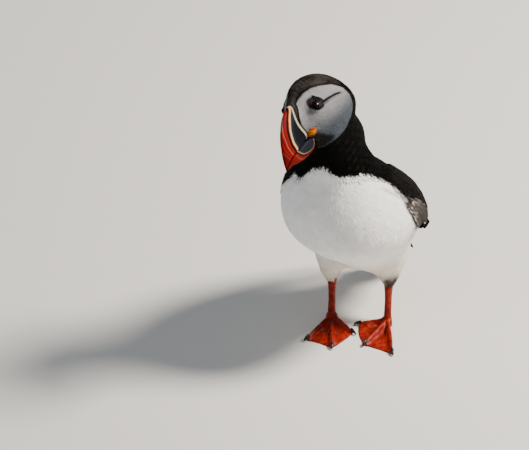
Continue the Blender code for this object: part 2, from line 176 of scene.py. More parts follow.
def paint(mesh, name, values):
    # colours (n, 3) or single numbers (n,) on the vertices
    values = np.asarray(values, float)
    if values.ndim == 2:
        layer = mesh.attributes.new(name, "FLOAT_COLOR", "POINT")
        full = np.ones((len(values), 4), np.float32)
        full[:, :3] = np.clip(values, 0, 1)
        layer.data.foreach_set("color", full.ravel())
    else:
        layer = mesh.attributes.new(name, "FLOAT", "POINT")
        layer.data.foreach_set("value", values.astype(np.float32))


def linkNew(name, data):
    made = bpy.data.objects.new(name, data)
    bpy.context.scene.collection.objects.link(made)
    return made


def newPiece(name, mesh, material, replaced=()):
    mesh.name = name
    mesh.materials.clear()
    mesh.materials.append(material)
    piece = linkNew(name, mesh)
    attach(piece, "root")
    if replaced:
        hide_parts(*replaced)
    return piece


def bmeshToMesh(bm, name):
    bmesh.ops.recalc_face_normals(bm, faces=bm.faces)
    mesh = bpy.data.meshes.new(name)
    bm.to_mesh(mesh)
    bm.free()
    mesh.shade_smooth()
    return mesh


def loftRings(rings, name):
    # rings of points in mm, closed at both ends
    bm = bmesh.new()
    loops = []
    for ring in rings:
        made = bmesh.ops.create_circle(bm, segments=len(ring), radius=1.0)["verts"]
        for vert, point in zip(made, ring):
            vert.co = Vector(point) / 1000
        loops.append({e for v in made for e in v.link_edges})
    for low, high in zip(loops, loops[1:]):
        bmesh.ops.bridge_loops(bm, edges=list(low | high))
    for end in (loops[0], loops[-1]):
        bmesh.ops.holes_fill(bm, edges=list(end), sides=len(rings[0]))
    return bmeshToMesh(bm, name)


def finerCopy(names, name, voxel, rounds, more=None):
    # one closed fine mesh round the CAD nodes, their small gaps filled
    bm = bmesh.new()
    for node in names:
        bm.from_mesh(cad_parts[node].data)
    if more:
        bm.from_mesh(more)
    bmesh.ops.remove_doubles(bm, verts=bm.verts, dist=1e-6)
    mesh = bpy.data.meshes.new(name)
    bm.to_mesh(mesh)
    bm.free()
    rough = linkNew(name + "Rough", mesh)
    remesh = rough.modifiers.new("remesh", "REMESH")
    remesh.mode = "VOXEL"
    remesh.voxel_size = voxel / 1000
    remesh.use_smooth_shade = True
    even = rough.modifiers.new("even", "SMOOTH")
    even.factor = 0.5
    even.iterations = rounds
    graph = bpy.context.evaluated_depsgraph_get()
    fine = bpy.data.meshes.new_from_object(rough.evaluated_get(graph))
    bpy.data.objects.remove(rough, do_unlink=True)
    bm = bmesh.new()
    bm.from_mesh(fine)
    # small shells closed inside the gaps go
    left = set(bm.verts)
    shells = []
    while left:
        seed = left.pop()
        shell, edge = {seed}, [seed]
        while edge:
            for e in edge.pop().link_edges:
                for v in e.verts:
                    if v in left:
                        left.discard(v)
                        shell.add(v)
                        edge.append(v)
        shells.append(shell)
    shells.sort(key=len)
    for shell in shells[:-1]:
        bmesh.ops.delete(bm, geom=list(shell), context="VERTS")
    bm.to_mesh(fine)
    bm.free()
    fine.shade_smooth()
    return fine


def addNode(tree, kind, settings=(), links=(), stops=()):
    # stops are for a colour ramp: its places, and a hex colour or a grey at each
    node = tree.nodes.new("ShaderNode" + kind)
    for key, value in dict(settings).items():
        if isinstance(key, str) and hasattr(node, key):
            setattr(node, key, value)
        else:
            node.inputs[key].default_value = value
    for socket, source in dict(links).items():
        tree.links.new(source, node.inputs[socket])
    ramp = node.color_ramp.elements if stops else ()
    while len(ramp) < len(stops):
        ramp.new(0.5)
    for element, (at, colour) in zip(ramp, stops):
        element.position = at
        element.color = (*(srgb(colour) if isinstance(colour, str) else (colour,) * 3), 1)
    return node


def newMaterial(name, roughness, specular=0.3, ior=1.5, **more):
    mat = bpy.data.materials.new(name)
    mat.use_nodes = True
    tree = mat.node_tree
    shader = tree.nodes["Principled BSDF"]
    shader.inputs["Roughness"].default_value = roughness
    shader.inputs["Specular IOR Level"].default_value = specular
    shader.inputs["IOR"].default_value = ior
    for key, value in more.items():
        shader.inputs[key.replace("_", " ")].default_value = value
    return mat, tree, shader


def plumage(name, rootShade, barbDepth, roughness, specular):
    # feather: matt, with barbs slanting from the shaft and the root darkened by painted shade under the next
    # row
    mat, tree, shader = newMaterial(name, roughness, specular)
    vane = addNode(tree, "UVMap", {"uv_map": "vane"})
    parts = addNode(tree, "SeparateXYZ", {}, {0: vane.outputs[0]})
    offShaft = addNode(tree, "Math", {"operation": "ABSOLUTE"}, {0: parts.outputs[0]})
    slant = addNode(tree, "Math", {"operation": "MULTIPLY", 1: -0.9}, {0: offShaft.outputs[0]})
    barb = addNode(tree, "Math", {"operation": "ADD"}, {0: parts.outputs[1], 1: slant.outputs[0]})
    row = addNode(tree, "Math", {"operation": "MULTIPLY", 1: 21.0}, {0: barb.outputs[0]})     # 0.3 mm apart
    saw = addNode(tree, "Math", {"operation": "SINE"}, {0: row.outputs[0]})
    place = {"Vector": addNode(tree, "TexCoord").outputs["Object"]}
    fluff = addNode(tree, "TexNoise", {"Scale": 900.0, "Detail": 3.0}, place)
    patch = addNode(tree, "TexNoise", {"Scale": 160.0, "Detail": 4.0}, place)
    coat = addNode(tree, "Attribute", {"attribute_name": "coat"})
    share = addNode(tree, "Attribute", {"attribute_name": "share"})
    tone = addNode(tree, "ValToRGB", {}, {"Fac": patch.outputs["Fac"]}, ((0.3, 0.88), (0.7, 1.0)))
    # painted shade: colour darkens towards the root, which lies under the next row
    depth = addNode(tree, "ValToRGB", {}, {"Fac": share.outputs["Fac"]}, ((0.0, rootShade), (0.6, 1.0)))
    multiply = {"data_type": "RGBA", "blend_type": "MULTIPLY", 0: 1.0}
    toned = addNode(tree, "Mix", multiply, {6: coat.outputs["Color"], 7: tone.outputs[0]})
    shaded = addNode(tree, "Mix", multiply, {6: toned.outputs[2], 7: depth.outputs[0]})
    height = addNode(tree, "Math", {"operation": "MULTIPLY_ADD", 1: 0.5},
                     {0: saw.outputs[0], 2: fluff.outputs["Fac"]})
    bump = addNode(tree, "Bump", {"Strength": barbDepth, "Distance": 0.00012}, {"Height": height.outputs[0]})
    tree.links.new(shaded.outputs[2], shader.inputs["Base Color"])
    tree.links.new(bump.outputs[0], shader.inputs["Normal"])
    return mat


# soft bright white with a faint silk line
whiteFeather = plumage("WhiteFeather", rootShade=0.95, barbDepth=0.12, roughness=0.8, specular=0.15)
# brownish black, catches a thin light
blackFeather = plumage("BlackFeather", rootShade=0.6, barbDepth=0.4, roughness=0.75, specular=0.035)
# short dense velvet
faceFeather = plumage("FaceFeather", rootShade=0.85, barbDepth=0.25, roughness=0.8, specular=0.045)
whiteCoat, blackCoat = ("white_plumage", whiteFeather), ("black_plumage", blackFeather)
faceCoat = ("face_plumage", faceFeather)

headAt = (-14.688, -45.085, 179.5)                # base of the bill on the line of the mouth
headTurn = {"Z": -1.0, "X": 4.0, "Y": -24.0}      # yaw, pitch and roll, degrees
yaw, pitch, roll = [Matrix.Rotation(math.radians(turn), 3, axis) for axis, turn in headTurn.items()]
headMatrix = np.array(yaw @ pitch @ roll)


def toHead(points):
    # (forward, left, up) in the head frame
    local = (points - np.array(headAt)) @ headMatrix
    return np.stack([-local[:, 1], local[:, 0], local[:, 2]], axis=1)


def fromHead(points):
    points = np.atleast_2d(np.array(points, float))
    local = np.stack([points[:, 1], -points[:, 0], points[:, 2]], axis=1)
    return local @ headMatrix.T + np.array(headAt)


eyeMiddle = {side: np.mean([np.array(c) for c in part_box("eye_" + side)], axis=0) * 1000
             for side, _ in bothSides}
print("head frame: the left eye is at", toHead(eyeMiddle["left"][None])[0].round(2), "mm in it")

# colours of the plumage; socket is painted shade round the eye, and furrow, cheek and chin also serve as
# painted shade
hue = {"white": "#fbfaf8", "cream": "#f1e8d6", "face": "#8c8b8e", "cheek": "#43484f", "chin": "#141211",
       "crown": "#3b3633", "collar": "#030303", "back": "#050505", "flank": "#3a3430", "thigh": "#4a423b",
       "wing": "#050505", "edge": "#211d1a", "down": "#72706f", "furrow": "#080707", "brown": "#1d1815",
       "socket": "#101114"}
hue = {name: srgb(code) for name, code in hue.items()}

# outlines on the side of the head, (forward, up) in its frame
faceOutline = [(-4.0, 17.9), (-7.6, 19.2), (-12.9, 20.1), (-18.6, 19.9), (-23.2, 18.2), (-30.1, 14.2),
               (-35.1, 7.9), (-35.5, 1.7), (-33.5, -3.8), (-31.1, -7.3), (-27.2, -10.8), (-20.9, -13.4),
               (-14.2, -14.9), (-8.3, -16.0), (-4.4, -16.7), (-1.9, -15.6), (-0.5, -13.2), (3.5, -6),
               (4.6, 0), (4.6, 4.3), (4.2, 7.6), (2.4, 11.2), (-0.6, 14.3)]
chinOutline = [(4, -4.2), (-2.8, -4.6), (-6.4, -8.6), (-10.6, -13.0), (-6.5, -16.2), (-1.5, -15.8), (4, -13)]
furrowLine = [(-15.2, 10.1), (-18.1, 10.0), (-20.7, 9.8), (-25.1, 9.1), (-28.0, 8.2), (-31.6, 6.6)]
# base of the pale strip round the bill, where the feathers of the face end: up, forward
loreCurve = [(-5, 3.2), (-2, 3.6), (1.3, 4.5), (4.7, 5.4), (8.1, 5.8), (10.7, 5.4), (13.4, 4.4), (16.6, 2.2),
             (18.1, 0.9), (19.1, 0.3), (22, -1.4)]
# lower edge of the black, by the angle round the body from the front (+ to its left), above the floor
collarEdge = [(-180, 52), (-150, 56), (-140, 63), (-128, 78), (-119, 88), (-108, 98), (-96, 104),
              (-84, 107), (-70, 109), (-62, 114), (-54, 120), (-48.5, 124), (-41, 131), (-35.6, 135.2),
              (-29.6, 135.6), (-26, 136.2), (-22.9, 139.3), (-18, 143.8), (-12.5, 147.4), (-7, 149.4),
              (-2.8, 150), (1, 149.4), (5.5, 146.4), (10.2, 144.2), (14.8, 142.9), (25, 141.6),
              (34, 140.9), (45, 138.8), (60, 134), (75, 128.6), (79.4, 125.4), (85, 121), (91.9, 113.5),
              (96.6, 107.5), (101.6, 103), (111, 94.9), (119, 86), (128, 76), (140, 64), (150, 57),
              (180, 52)]
tailLine = [(40, 56), (44, 52), (56, 43), (65, 33.5), (76, 15.5)]     # y, z down the middle of the tail
flankTuft = {"y": 16, "z": 95, "slant": (0.62, 0.79), "halfLength": 17, "halfWidth": 7}
greySpots = ((14, 84, 9, 9, 0.7), (34, 70, 12, 8, 0.45))              # y, z, half sizes, strength
# middle and radius of the painted shade round the eye, in the head frame
eyeShadePlace = {"forward": -11.2, "up": 12.6, "radius": 4.9}


def azimuth(p):
    # angle round the body from the front, + to its left
    return np.degrees(np.arctan2(p[:, 0], -p[:, 1]))


def blackness(p):
    # mm inside the black of the back and collar, - in the white
    aboveEdge = (p[:, 2] - readCurve(collarEdge, azimuth(p))) * 0.8
    aboveTail = (p[:, 2] - readCurve(tailLine, p[:, 1])) * 0.6 + 1.0
    ragged = mix(0.9, 0.4, ease(50, 70, azimuth(p)))
    return mix(aboveEdge, aboveTail, ease(38, 46, p[:, 1])) + ragged * waves(p, 2.2, 3)


def flankPatch(p):
    # the slanting tuft of brown-grey flank feathers that lies over the front of the folded wing
    back, level = p[:, 1] - flankTuft["y"], p[:, 2] - flankTuft["z"]
    c, s = flankTuft["slant"]
    along = (c * back - s * level) / flankTuft["halfLength"]
    across = (s * back + c * level + 1.2) / flankTuft["halfWidth"]
    spot = np.exp(-along ** 2 - across ** 2) * ease(28, 34, np.abs(p[:, 0]))
    return spot + 0.1 * waves(p, 1.6, 31) * ease(0.1, 0.4, spot)


def loreGap(h):
    # mm behind the edge of the feathers at the base of the bill
    return (readCurve(loreCurve, h[:, 2]) - h[:, 0]) * 0.9


def tint(base, name, share):
    return mix(base, hue[name], share[:, None])


def headMarkings(p, out):
    # dark crown, grey face darker towards the chin, furrow behind the eye; much of the face's darkening is
    # painted shade
    h = toHead(p)
    flatHead = h[:, [0, 2]]
    onHead = ease(148, 152, p[:, 2])
    # painted shade: on its right, the side away from the light, the dark round the face reaches further over
    # its front
    rightFaceShade = 4.5 * ease(2, -2, h[:, 1]) * ease(-20, -12, h[:, 0])     # on its right
    inFace = np.minimum(insideBy(flatHead, faceOutline), (np.abs(h[:, 1]) - 2.0 - rightFaceShade) * 1.2)
    crown = ease(8, 15, h[:, 2]) * ease(-44, -34, h[:, 0]) * ease(-0.4, -2.2, inFace) * onHead
    out = tint(out, "crown", crown * np.clip(0.65 + 0.5 * waves(p, 3, 5) + 0.5 * waves(p, 0.6, 8), 0, 1))
    # painted shade: bluish grey over the lower front of the face, towards the bill
    front = ease(-16, 2, h[:, 0]) * ease(15, 6, h[:, 2])
    # dark wedge under the rosette: partly darker plumage, partly painted shadow under the cheek
    chin = ease(-1.8, 1.2, insideBy(flatHead, chinOutline) + 0.5 * waves(p, 1.5, 9))
    lore = ease(1.6, 0.6, loreGap(h)) * ease(-4, 0, h[:, 2])
    # painted shade in the crease of the furrow behind the eye, wide near the eye and thinning towards its
    # end
    line, along = curveDistance(flatHead, furrowLine)
    crease = np.exp(-(line / mix(1.5, 0.55, along)) ** 4) * ease(1.02, 0.85, along)
    # painted shade round the eye, under the overhang of the brow plate
    fromEyeShade = np.hypot(h[:, 0] - eyeShadePlace["forward"], (h[:, 2] - eyeShadePlace["up"]) * 1.08)
    socket = ease(eyeShadePlace["radius"] + 0.5, eyeShadePlace["radius"] - 0.5, fromEyeShade)
    # darker towards the chin: partly the face's own greyer lower part, partly painted shade
    side = tint(hue["face"], "cheek", ease(9, -9, h[:, 2] + 0.12 * h[:, 0] + 0.5 * waves(p, 5, 7)))
    for name, share in (("cheek", 0.45 * front), ("chin", 0.97 * chin), ("furrow", 0.9 * lore),
                        ("socket", 0.95 * socket), ("furrow", crease)):
        side = tint(side, name, share)
    return mix(out, side, (ease(-0.35, 0.35, inFace) * onHead)[:, None])


def markings(p, wingness, jitter=0.0):
    # colour of the plumage at points in mm; wingness is 1 on the folded wings and the tail
    covered = ease(104, 98, np.abs(azimuth(p))) * ease(1.0, -1.0, blackness(p))
    dark = ease(-0.8, 0.8, np.maximum(blackness(p), (wingness * (1 - covered) - 0.5) * 8) + jitter)
    # cream towards the bottom: partly a stain, partly painted warm light bounced up from below
    white = tint(hue["white"], "cream", 0.8 * ease(75, 40, p[:, 2]))
    grey = sum(much * np.exp(-((p[:, 1] - y) / wide) ** 2 - ((p[:, 2] - z) / tall) ** 2)
               for y, z, wide, tall, much in greySpots)
    grey = grey * ease(14, 26, np.abs(p[:, 0])) * (0.7 + 0.7 * waves(p, 1.3, 1))
    white = tint(white, "flank", np.clip(grey, 0, 0.9))
    thigh = ease(42, 34, p[:, 2] + 3 * waves(p, 1.0, 2)) * mix(0.25, 1.0, ease(15, 21, p[:, 0]))
    white = tint(white, "thigh", thigh * ease(3, 9, p[:, 1]))
    black = tint(hue["collar"], "back", ease(150, 120, p[:, 2]))
    black = tint(black, "brown", 0.55 * ease(0.1, 0.7, waves(p, 1.1, 21)) * ease(-10, 20, p[:, 0]))
    out = mix(white, tint(black, "wing", wingness), dark[:, None])
    patch = ease(0.12, 0.32, flankPatch(p)) * (0.9 + 0.35 * waves(p, 0.9, 1))
    return headMarkings(p, tint(out, "flank", np.clip(patch, 0, 1)))


# skin: one closed surface under the whole coat, pushed in by the depth of the feathers on each part
skinLook = {"voxel": 0.95, "rounds": 6, "bodyCoat": 1.1, "headCoat": 1.0, "wingCoat": 0.95, "tipCoat": 0.4,
            "eyeCoat": 1.1, "slimBelly": 0.8, "furrow": 2.1, "fold": 0.6, "lore": 0.55, "tailDraw": 8.0,
            "meltRounds": 180}
fleshNodes = ("head", "neck", "trunk", "thigh_left", "thigh_right", "wing_left", "wing_right", "tail")
# bill from its base to its tip: forward, half width, low, high
upperRows = [(-1.5, 6.8, -4.5, 19.5), (5, 6.4, -4.8, 20.3), (11.5, 5.6, -5.2, 18.9), (18, 4.6, -5.7, 15),
             (23.5, 3.6, -6, 9.6), (27.8, 2.5, -7, 2.8), (30.7, 1.5, -8.4, -3.2), (32.2, 0.7, -10, -7.6)]
lowerRows = [(-3, 6.6, -16.5, -3.9), (4, 5.9, -16.6, -4.2), (11.5, 5, -15.4, -4.8), (19, 3.9, -13.4, -5.6),
             (24.4, 2.8, -11.5, -6.5), (28.6, 1.6, -11.0, -7.9), (30.9, 0.9, -10.6, -8.8)]


def billPoint(angle, forward, half, low, high, upper, slant):
    c, s = math.cos(angle), math.sin(angle)
    power = 0.55 if (s < 0) == upper else 0.8           # squarer along the mouth
    c, s = math.copysign(abs(c) ** power, c), math.copysign(abs(s) ** power, s)
    share = 0.5 + 0.5 * s if upper else 0.5 - 0.5 * s
    narrow = 1 - 0.55 * share ** 1.6
    return (forward + slant * (1 - share), half * c * narrow, mix(low, high, 0.5 + 0.5 * s))


def loreMesh():
    # the feathered skin that runs out over the base of the bill, up to its pale strip
    low, high = -4.2, 20.0
    rings = []
    for t in np.linspace(0, 1, 7):
        ring = []
        for angle in np.linspace(0, 2 * math.pi, 40, endpoint=False):
            _, _, level = billPoint(angle, 0, 6.5, low, high, True, 0)
            forward = mix(-7.0, readCurve(loreCurve, level), t)
            wide = mix(7.0, 6.4, t) + skinLook["lore"] * (1.5 - t)
            ring.append(billPoint(angle, forward, wide, low, high + 0.6 * (1 - t), True, 0))
        rings.append(fromHead(ring))
    return loftRings(rings, "lore")


skinMesh = finerCopy(fleshNodes + ("eye_left", "eye_right", "rosette_left", "rosette_right"), "skin",
                     skinLook["voxel"], skinLook["rounds"], loreMesh())
points = meshPoints(skinMesh)
eyeOpening = (-9.9, 11.22, 11.6)      # middle of the opening of the left eye, in the head frame
eyeAxis = {side: unit(fromHead(np.array(eyeOpening) * (1, sign, 1))[0] - eyeMiddle[side])
           for side, sign in bothSides}


def meltFolds(mesh, rounds):
    # the folds between belly and thighs are softened
    bm = bmesh.new()
    bm.from_mesh(mesh)
    near = [v for v in bm.verts if 0.037 < v.co.z < 0.076 and v.co.y < 0.024]
    for _ in range(rounds):
        bmesh.ops.smooth_vert(bm, verts=near, factor=0.5, use_axis_x=True, use_axis_y=True, use_axis_z=True)
    bm.to_mesh(mesh)
    bm.free()
    mesh.update()


def distanceTo(*names):
    # mm from each point of the skin to the nearest of some CAD nodes
    verts, faces = [], []
    for name in names:
        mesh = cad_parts[name].data
        base = len(verts)
        verts += [v.co * 1000 for v in mesh.vertices]
        faces += [[base + k for k in f.vertices] for f in mesh.polygons]
    tree = BVHTree.FromPolygons(verts, faces)
    return np.array([tree.find_nearest(Vector(q))[3] for q in points])


toWing = distanceTo("wing_left", "wing_right")
toTail = distanceTo("tail")
toBody = distanceTo("trunk", "neck", "head", "thigh_left", "thigh_right")
toBare = distanceTo("bill_lower", "rosette_left", "rosette_right", "tarsus_left", "tarsus_right")
toBill = distanceTo("bill_upper")
toEye = distanceTo("eye_left", "eye_right")
wingness = ease(-0.4, 0.4, toBody - np.minimum(toWing, toTail))
onTail = ease(-0.4, 0.4, np.minimum(toBody, toWing) - toTail)
wingness = wingness * (1 - ease(104, 98, np.abs(azimuth(points))) * ease(5.6, 4.4, blackness(points)))
wingness = wingness * (1 - ease(0.25, 0.45, flankPatch(points)))

depth = mix(skinLook["bodyCoat"], skinLook["headCoat"], ease(140, 158, points[:, 2]))
wingDepth = mix(skinLook["tipCoat"], skinLook["wingCoat"], ease(45, 100, points[:, 2]))
depth = mix(depth, wingDepth, np.maximum(wingness, onTail))
depth = np.minimum(depth, 0.15 + 0.32 * np.maximum(np.minimum(toBare, toBill) - 0.3, 0))
depth = np.minimum(depth, 0.10 + 0.3 * np.maximum(toEye - 0.3, 0))
# the eye looks out of an opening in the skin
fromAxis = np.full(len(points), 90.0)
for side, middle in eyeMiddle.items():
    out = points - middle
    turn = np.degrees(np.arccos(np.clip(unit(out) @ eyeAxis[side], -1, 1)))
    fromAxis = np.where(np.linalg.norm(out, axis=1) < 6, np.minimum(fromAxis, turn), fromAxis)
depth = mix(depth, skinLook["eyeCoat"], ease(47, 38, fromAxis))
# slimmer on the right of the belly, and a furrow with its fold behind each eye
rightBelly = np.exp(-((points[:, 2] - 70) / 13) ** 2) * ease(-4, -18, points[:, 0]) * (points[:, 1] < 10)
depth = depth + skinLook["slimBelly"] * rightBelly
h = toHead(points)
crease, creaseShare = curveDistance(h[:, [0, 2]], furrowLine)
onSide = ease(6, 10, np.abs(h[:, 1])) * ease(6, 4, np.abs(h[:, 2] - 10)) * ease(-34, -30, h[:, 0])
depth = depth + onSide * skinLook["furrow"] * np.exp(-crease ** 2) * ease(1.0, 0.75, creaseShare)
depth = depth - onSide * skinLook["fold"] * np.exp(-((crease - 2.4) / 1.3) ** 2)
setPoints(skinMesh, points - meshNormals(skinMesh) * depth[:, None])
meltFolds(skinMesh, skinLook["meltRounds"])
points = meshPoints(skinMesh)
# the tail is drawn in, so that the ends of its feathers stand free
tailDraw = ease(0.3, 0.9, onTail) * ease(34, 18, points[:, 2]) * skinLook["tailDraw"]
points = points + np.array([0.0, -0.52, 0.85]) * tailDraw[:, None]
setPoints(skinMesh, points)
skinNormals = meshNormals(skinMesh)
tailInk = ease(0.4, 1.4, np.minimum(toBody, toWing) - toTail)
paint(skinMesh, "coat", markings(points, np.maximum(wingness, tailInk)) * 0.8)
# the skin takes part of the painted shade of the feather roots
paint(skinMesh, "share", np.full(len(points), 0.5))

skin = newPiece("skin", skinMesh, faceFeather, fleshNodes)
bpy.context.view_layer.objects.active = skin
skin.select_set(True)
bpy.ops.object.mode_set(mode="EDIT")
bpy.ops.mesh.select_all(action="SELECT")
bpy.ops.uv.smart_project(angle_limit=math.radians(66), island_margin=0.003)
bpy.ops.object.mode_set(mode="OBJECT")
skin.select_set(False)
skinUv = readRows(skinMesh.uv_layers[0].data, "uv", 2).astype(float)
skinMesh.uv_layers[0].name = "vane"
skinMesh.calc_loop_triangles()
triVerts = readRows(skinMesh.loop_triangles, "vertices", 3, np.int32)
triLoops = readRows(skinMesh.loop_triangles, "loops", 3, np.int32)
triCount = len(triVerts)
corner = points[triVerts]
triArea = 0.5 * np.linalg.norm(np.cross(corner[:, 1] - corner[:, 0], corner[:, 2] - corner[:, 0]), axis=1)
triNormal = unit(skinNormals[triVerts].sum(axis=1))
skinTree = BVHTree.FromPolygons([Vector(p) for p in points], [tuple(int(i) for i in t) for t in triVerts])
print("skin:", len(points), "vertices,", triCount, "triangles,", round(triArea.sum() / 100), "square cm")


def onSkin(p):
    # nearest places on the skin, their outward normals and triangles
    found = [skinTree.find_nearest(Vector(q)) for q in p]
    at = np.array([f[0] for f in found], float)
    tri = np.array([f[2] for f in found])
    return at, triNormal[tri], tri


billRoot = fromHead((9.0, 0.0, 3.0))[0]
legAxes = {"left": np.array([20.0, 20.2]), "right": np.array([-16.0, 10.6])}
sideways = ((45, -0.25), (70, -0.12), (105, 0.1), (125, 0.22))     # by height
backward = ((-40, 0.3), (20, 0.55), (50, 0.7))                     # by place along the body


def lieAt(p, normal):
    # back from the bill on the head, down the neck, then down and backwards along the slanting body
    away = unit(p - billRoot)
    down = np.array([0.1, 0.25, -0.95])
    spread = readCurve(sideways, p[:, 2]) * np.clip(p[:, 0] / 30, -1, 1)
    body = unit(np.stack([spread, readCurve(backward, p[:, 1]), np.full(len(p), -0.85)], axis=1))
    high = ease(150, 172, p[:, 2])[:, None]
    low = ease(150, 128, p[:, 2])[:, None]
    lie = away * high + body * low + down * (1 - high) * (1 - low)
    for at in legAxes.values():
        near = ease(13, 8, np.linalg.norm(p[:, :2] - at, axis=1)) * ease(46, 38, p[:, 2])
        lie = mix(lie, np.array([0.0, 0.15, -1.0]), near[:, None])
    lie = lie + 0.10 * np.stack([waves(p, 9, seed) for seed in (11, 12, 13)], axis=1)
    return alongSurface(lie, normal)


rootGrid = {"tries": 9, "cell": 0.83}     # tries for each root, and side of a cell as a share of the spacing


def scatter(spacing, region):
    # evenly spread roots: one per cell of a fine grid, where region (0 to 1 at points) allows
    tries = int(triArea.sum() / spacing ** 2 * rootGrid["tries"])
    pick = dice.choice(triCount, tries, p=triArea / triArea.sum())
    a, b = dice.random(tries), dice.random(tries)
    flip = a + b > 1
    a, b = np.where(flip, 1 - a, a), np.where(flip, 1 - b, b)
    weight = np.stack([1 - a - b, a, b], axis=1)
    p = (corner[pick] * weight[:, :, None]).sum(axis=1)
    keep = region(p, pick, weight) > dice.random(tries)
    p, pick, weight = p[keep], pick[keep], weight[keep]
    cell = np.floor(p / (spacing * rootGrid["cell"])).astype(int)
    _, first = np.unique(cell, axis=0, return_index=True)
    first = np.sort(first)
    return p[first], pick[first], weight[first]


def perPoint(values, pick, weight):
    return (values[triVerts[pick]] * weight).sum(axis=1)


def growVanes(p, pick, weight, look, heading=None, sizes=None):
    # closed thin vanes laid on the skin from their roots, as arrays for one mesh; a face of three ends in -1
    count = len(p)
    rows, columns = look["profile"], look["columns"]
    size = (1 + look["vary"] * (dice.random(count) * 2 - 1)) if sizes is None else sizes
    length, width = look["length"] * size, look["width"] * size ** 0.5
    normal = triNormal[pick]
    root = (skinUv[triLoops[pick]] * weight[:, :, None]).sum(axis=1)
    if heading is None:
        heading = lieAt(p, normal)
    side = np.cross(normal, heading)
    swing = np.radians(look["swing"]) * dice.standard_normal(count)
    heading = unit(heading * np.cos(swing)[:, None] + side * np.sin(swing)[:, None])
    lift = look["lift"] * (0.92 + 0.16 * dice.random(count))
    bend = look["bend"] * dice.standard_normal(count)
    across = np.linspace(-1, 1, columns)
    verts, shares, uvs, skyward = [], [], [], []
    at = p
    done = 0.0
    for t, wide in rows:
        if t > done:
            heading = unit(heading + np.cross(normal, heading) * (bend * (t - done))[:, None])
            at = at + heading * (length * (t - done))[:, None]
            if t <= look["free"]:
                at, normal, _ = onSkin(at)
                heading = alongSurface(mix(heading, lieAt(at, normal), look["follow"]), normal)
        done = t
        side = np.cross(normal, heading)
        rise = mix(look["start"], lift, t ** 0.8)
        for x in (across if wide > 0 else [0.0]):
            drop = look["camber"] * width * x * x * (0.3 + 0.7 * (wide > 0)) + 0.05 * abs(x)
            point = at + side * (x * wide * width / 2)[:, None] + normal * (rise - drop)[:, None]
            verts.append(point)
            skyward.append(normal)
            shares.append(np.full(count, t))
            uvs.append(np.stack([x * wide * width / 2, t * length], axis=1))
    verts = np.stack(verts, axis=1)
    full = sum(wide > 0 for _, wide in rows)
    tip = full * columns
    ring = [(c, (c + 1) % columns) for c in range(columns)]
    faces = []
    for r in range(full - 1):
        row, above = r * columns, (r + 1) * columns
        faces += [(row + c, above + c, above + d, row + d) for c, d in ring]
    faces += [(tip - columns + c, tip, tip - columns + d, -1) for c, d in ring]
    flat = [d == 0 for _ in range(full) for _, d in ring]     # the underside stays flat shaded
    faces += [(0, 1, 2, -1)] if columns == 3 else [(0, 1, 2, 3), (0, 3, 4, -1)]
    flat += [True] * (len(faces) - len(flat))
    return {"verts": verts, "faces": faces, "flat": flat, "share": np.stack(shares, axis=1),
            "uv": np.stack(uvs, axis=1), "root": root, "skin": np.stack(skyward, axis=1),
            "soft": look["soft"]}


bakePatch = np.array([0.0015, 0.003])     # share of the skin's unwrap that each feather takes at its root
mostTriangles = 190000                    # in one piece


def coatPiece(name, vanes, material, colourOf, wingValue):
    verts = vanes["verts"]
    count, per = verts.shape[:2]
    flat = insideBox(verts.reshape(-1, 3), 0.02)
    faces = vanes["faces"]
    size = np.array([3 if f[3] < 0 else 4 for f in faces])
    order = np.concatenate([np.array(f[:s]) for f, s in zip(faces, size)])
    loops = (order[None, :] + (np.arange(count) * per)[:, None]).ravel()
    sizes, underside = np.tile(size, count), np.tile(np.array(vanes["flat"], bool), count)
    starts = np.concatenate([[0], np.cumsum(sizes)[:-1]])
    mesh = bpy.data.meshes.new(name)
    mesh.vertices.add(len(flat))
    mesh.vertices.foreach_set("co", (flat / 1000).astype(np.float32).ravel())
    mesh.loops.add(len(loops))
    mesh.loops.foreach_set("vertex_index", loops.astype(np.int32))
    mesh.polygons.add(len(starts))
    mesh.polygons.foreach_set("loop_start", starts.astype(np.int32))
    mesh.update(calc_edges=True)
    sharp = mesh.attributes.new("sharp_face", "BOOLEAN", "FACE")
    sharp.data.foreach_set("value", underside)
    share = vanes["share"].ravel()
    paint(mesh, "share", share)
    paint(mesh, "coat", colourOf(flat, share, np.repeat(np.arange(count), per), wingValue))
    local = vanes["uv"].reshape(-1, 2)
    layer = mesh.uv_layers.new(name="vane")
    layer.data.foreach_set("uv", local[loops].astype(np.float32).ravel())
    layer.active_render = True
    span = np.abs(local).max(axis=0)
    patchUv = local / np.maximum(span, 1e-6) * bakePatch - np.array([0.0, 0.0015])
    onUnwrap = np.clip(np.repeat(vanes["root"], per, axis=0) + patchUv, 0.0, 1.0)
    bake = mesh.uv_layers.new(name="OFBake")
    bake.data.foreach_set("uv", onUnwrap[loops].astype(np.float32).ravel())
    if vanes["soft"]:
        # fine feathers shade mostly as the skin under them does
        blend = unit(mix(meshNormals(mesh), vanes["skin"].reshape(-1, 3), vanes["soft"]))[loops]
        under = np.repeat(underside, sizes)
        blend[under] = np.repeat(faceNormals(mesh), sizes, axis=0)[under]
        mesh.normals_split_custom_set(blend)
    tris = int((sizes - 2).sum())
    print(name + ":", count, "feathers,", tris, "triangles")
    newPiece(name, mesh, material)
    return tris


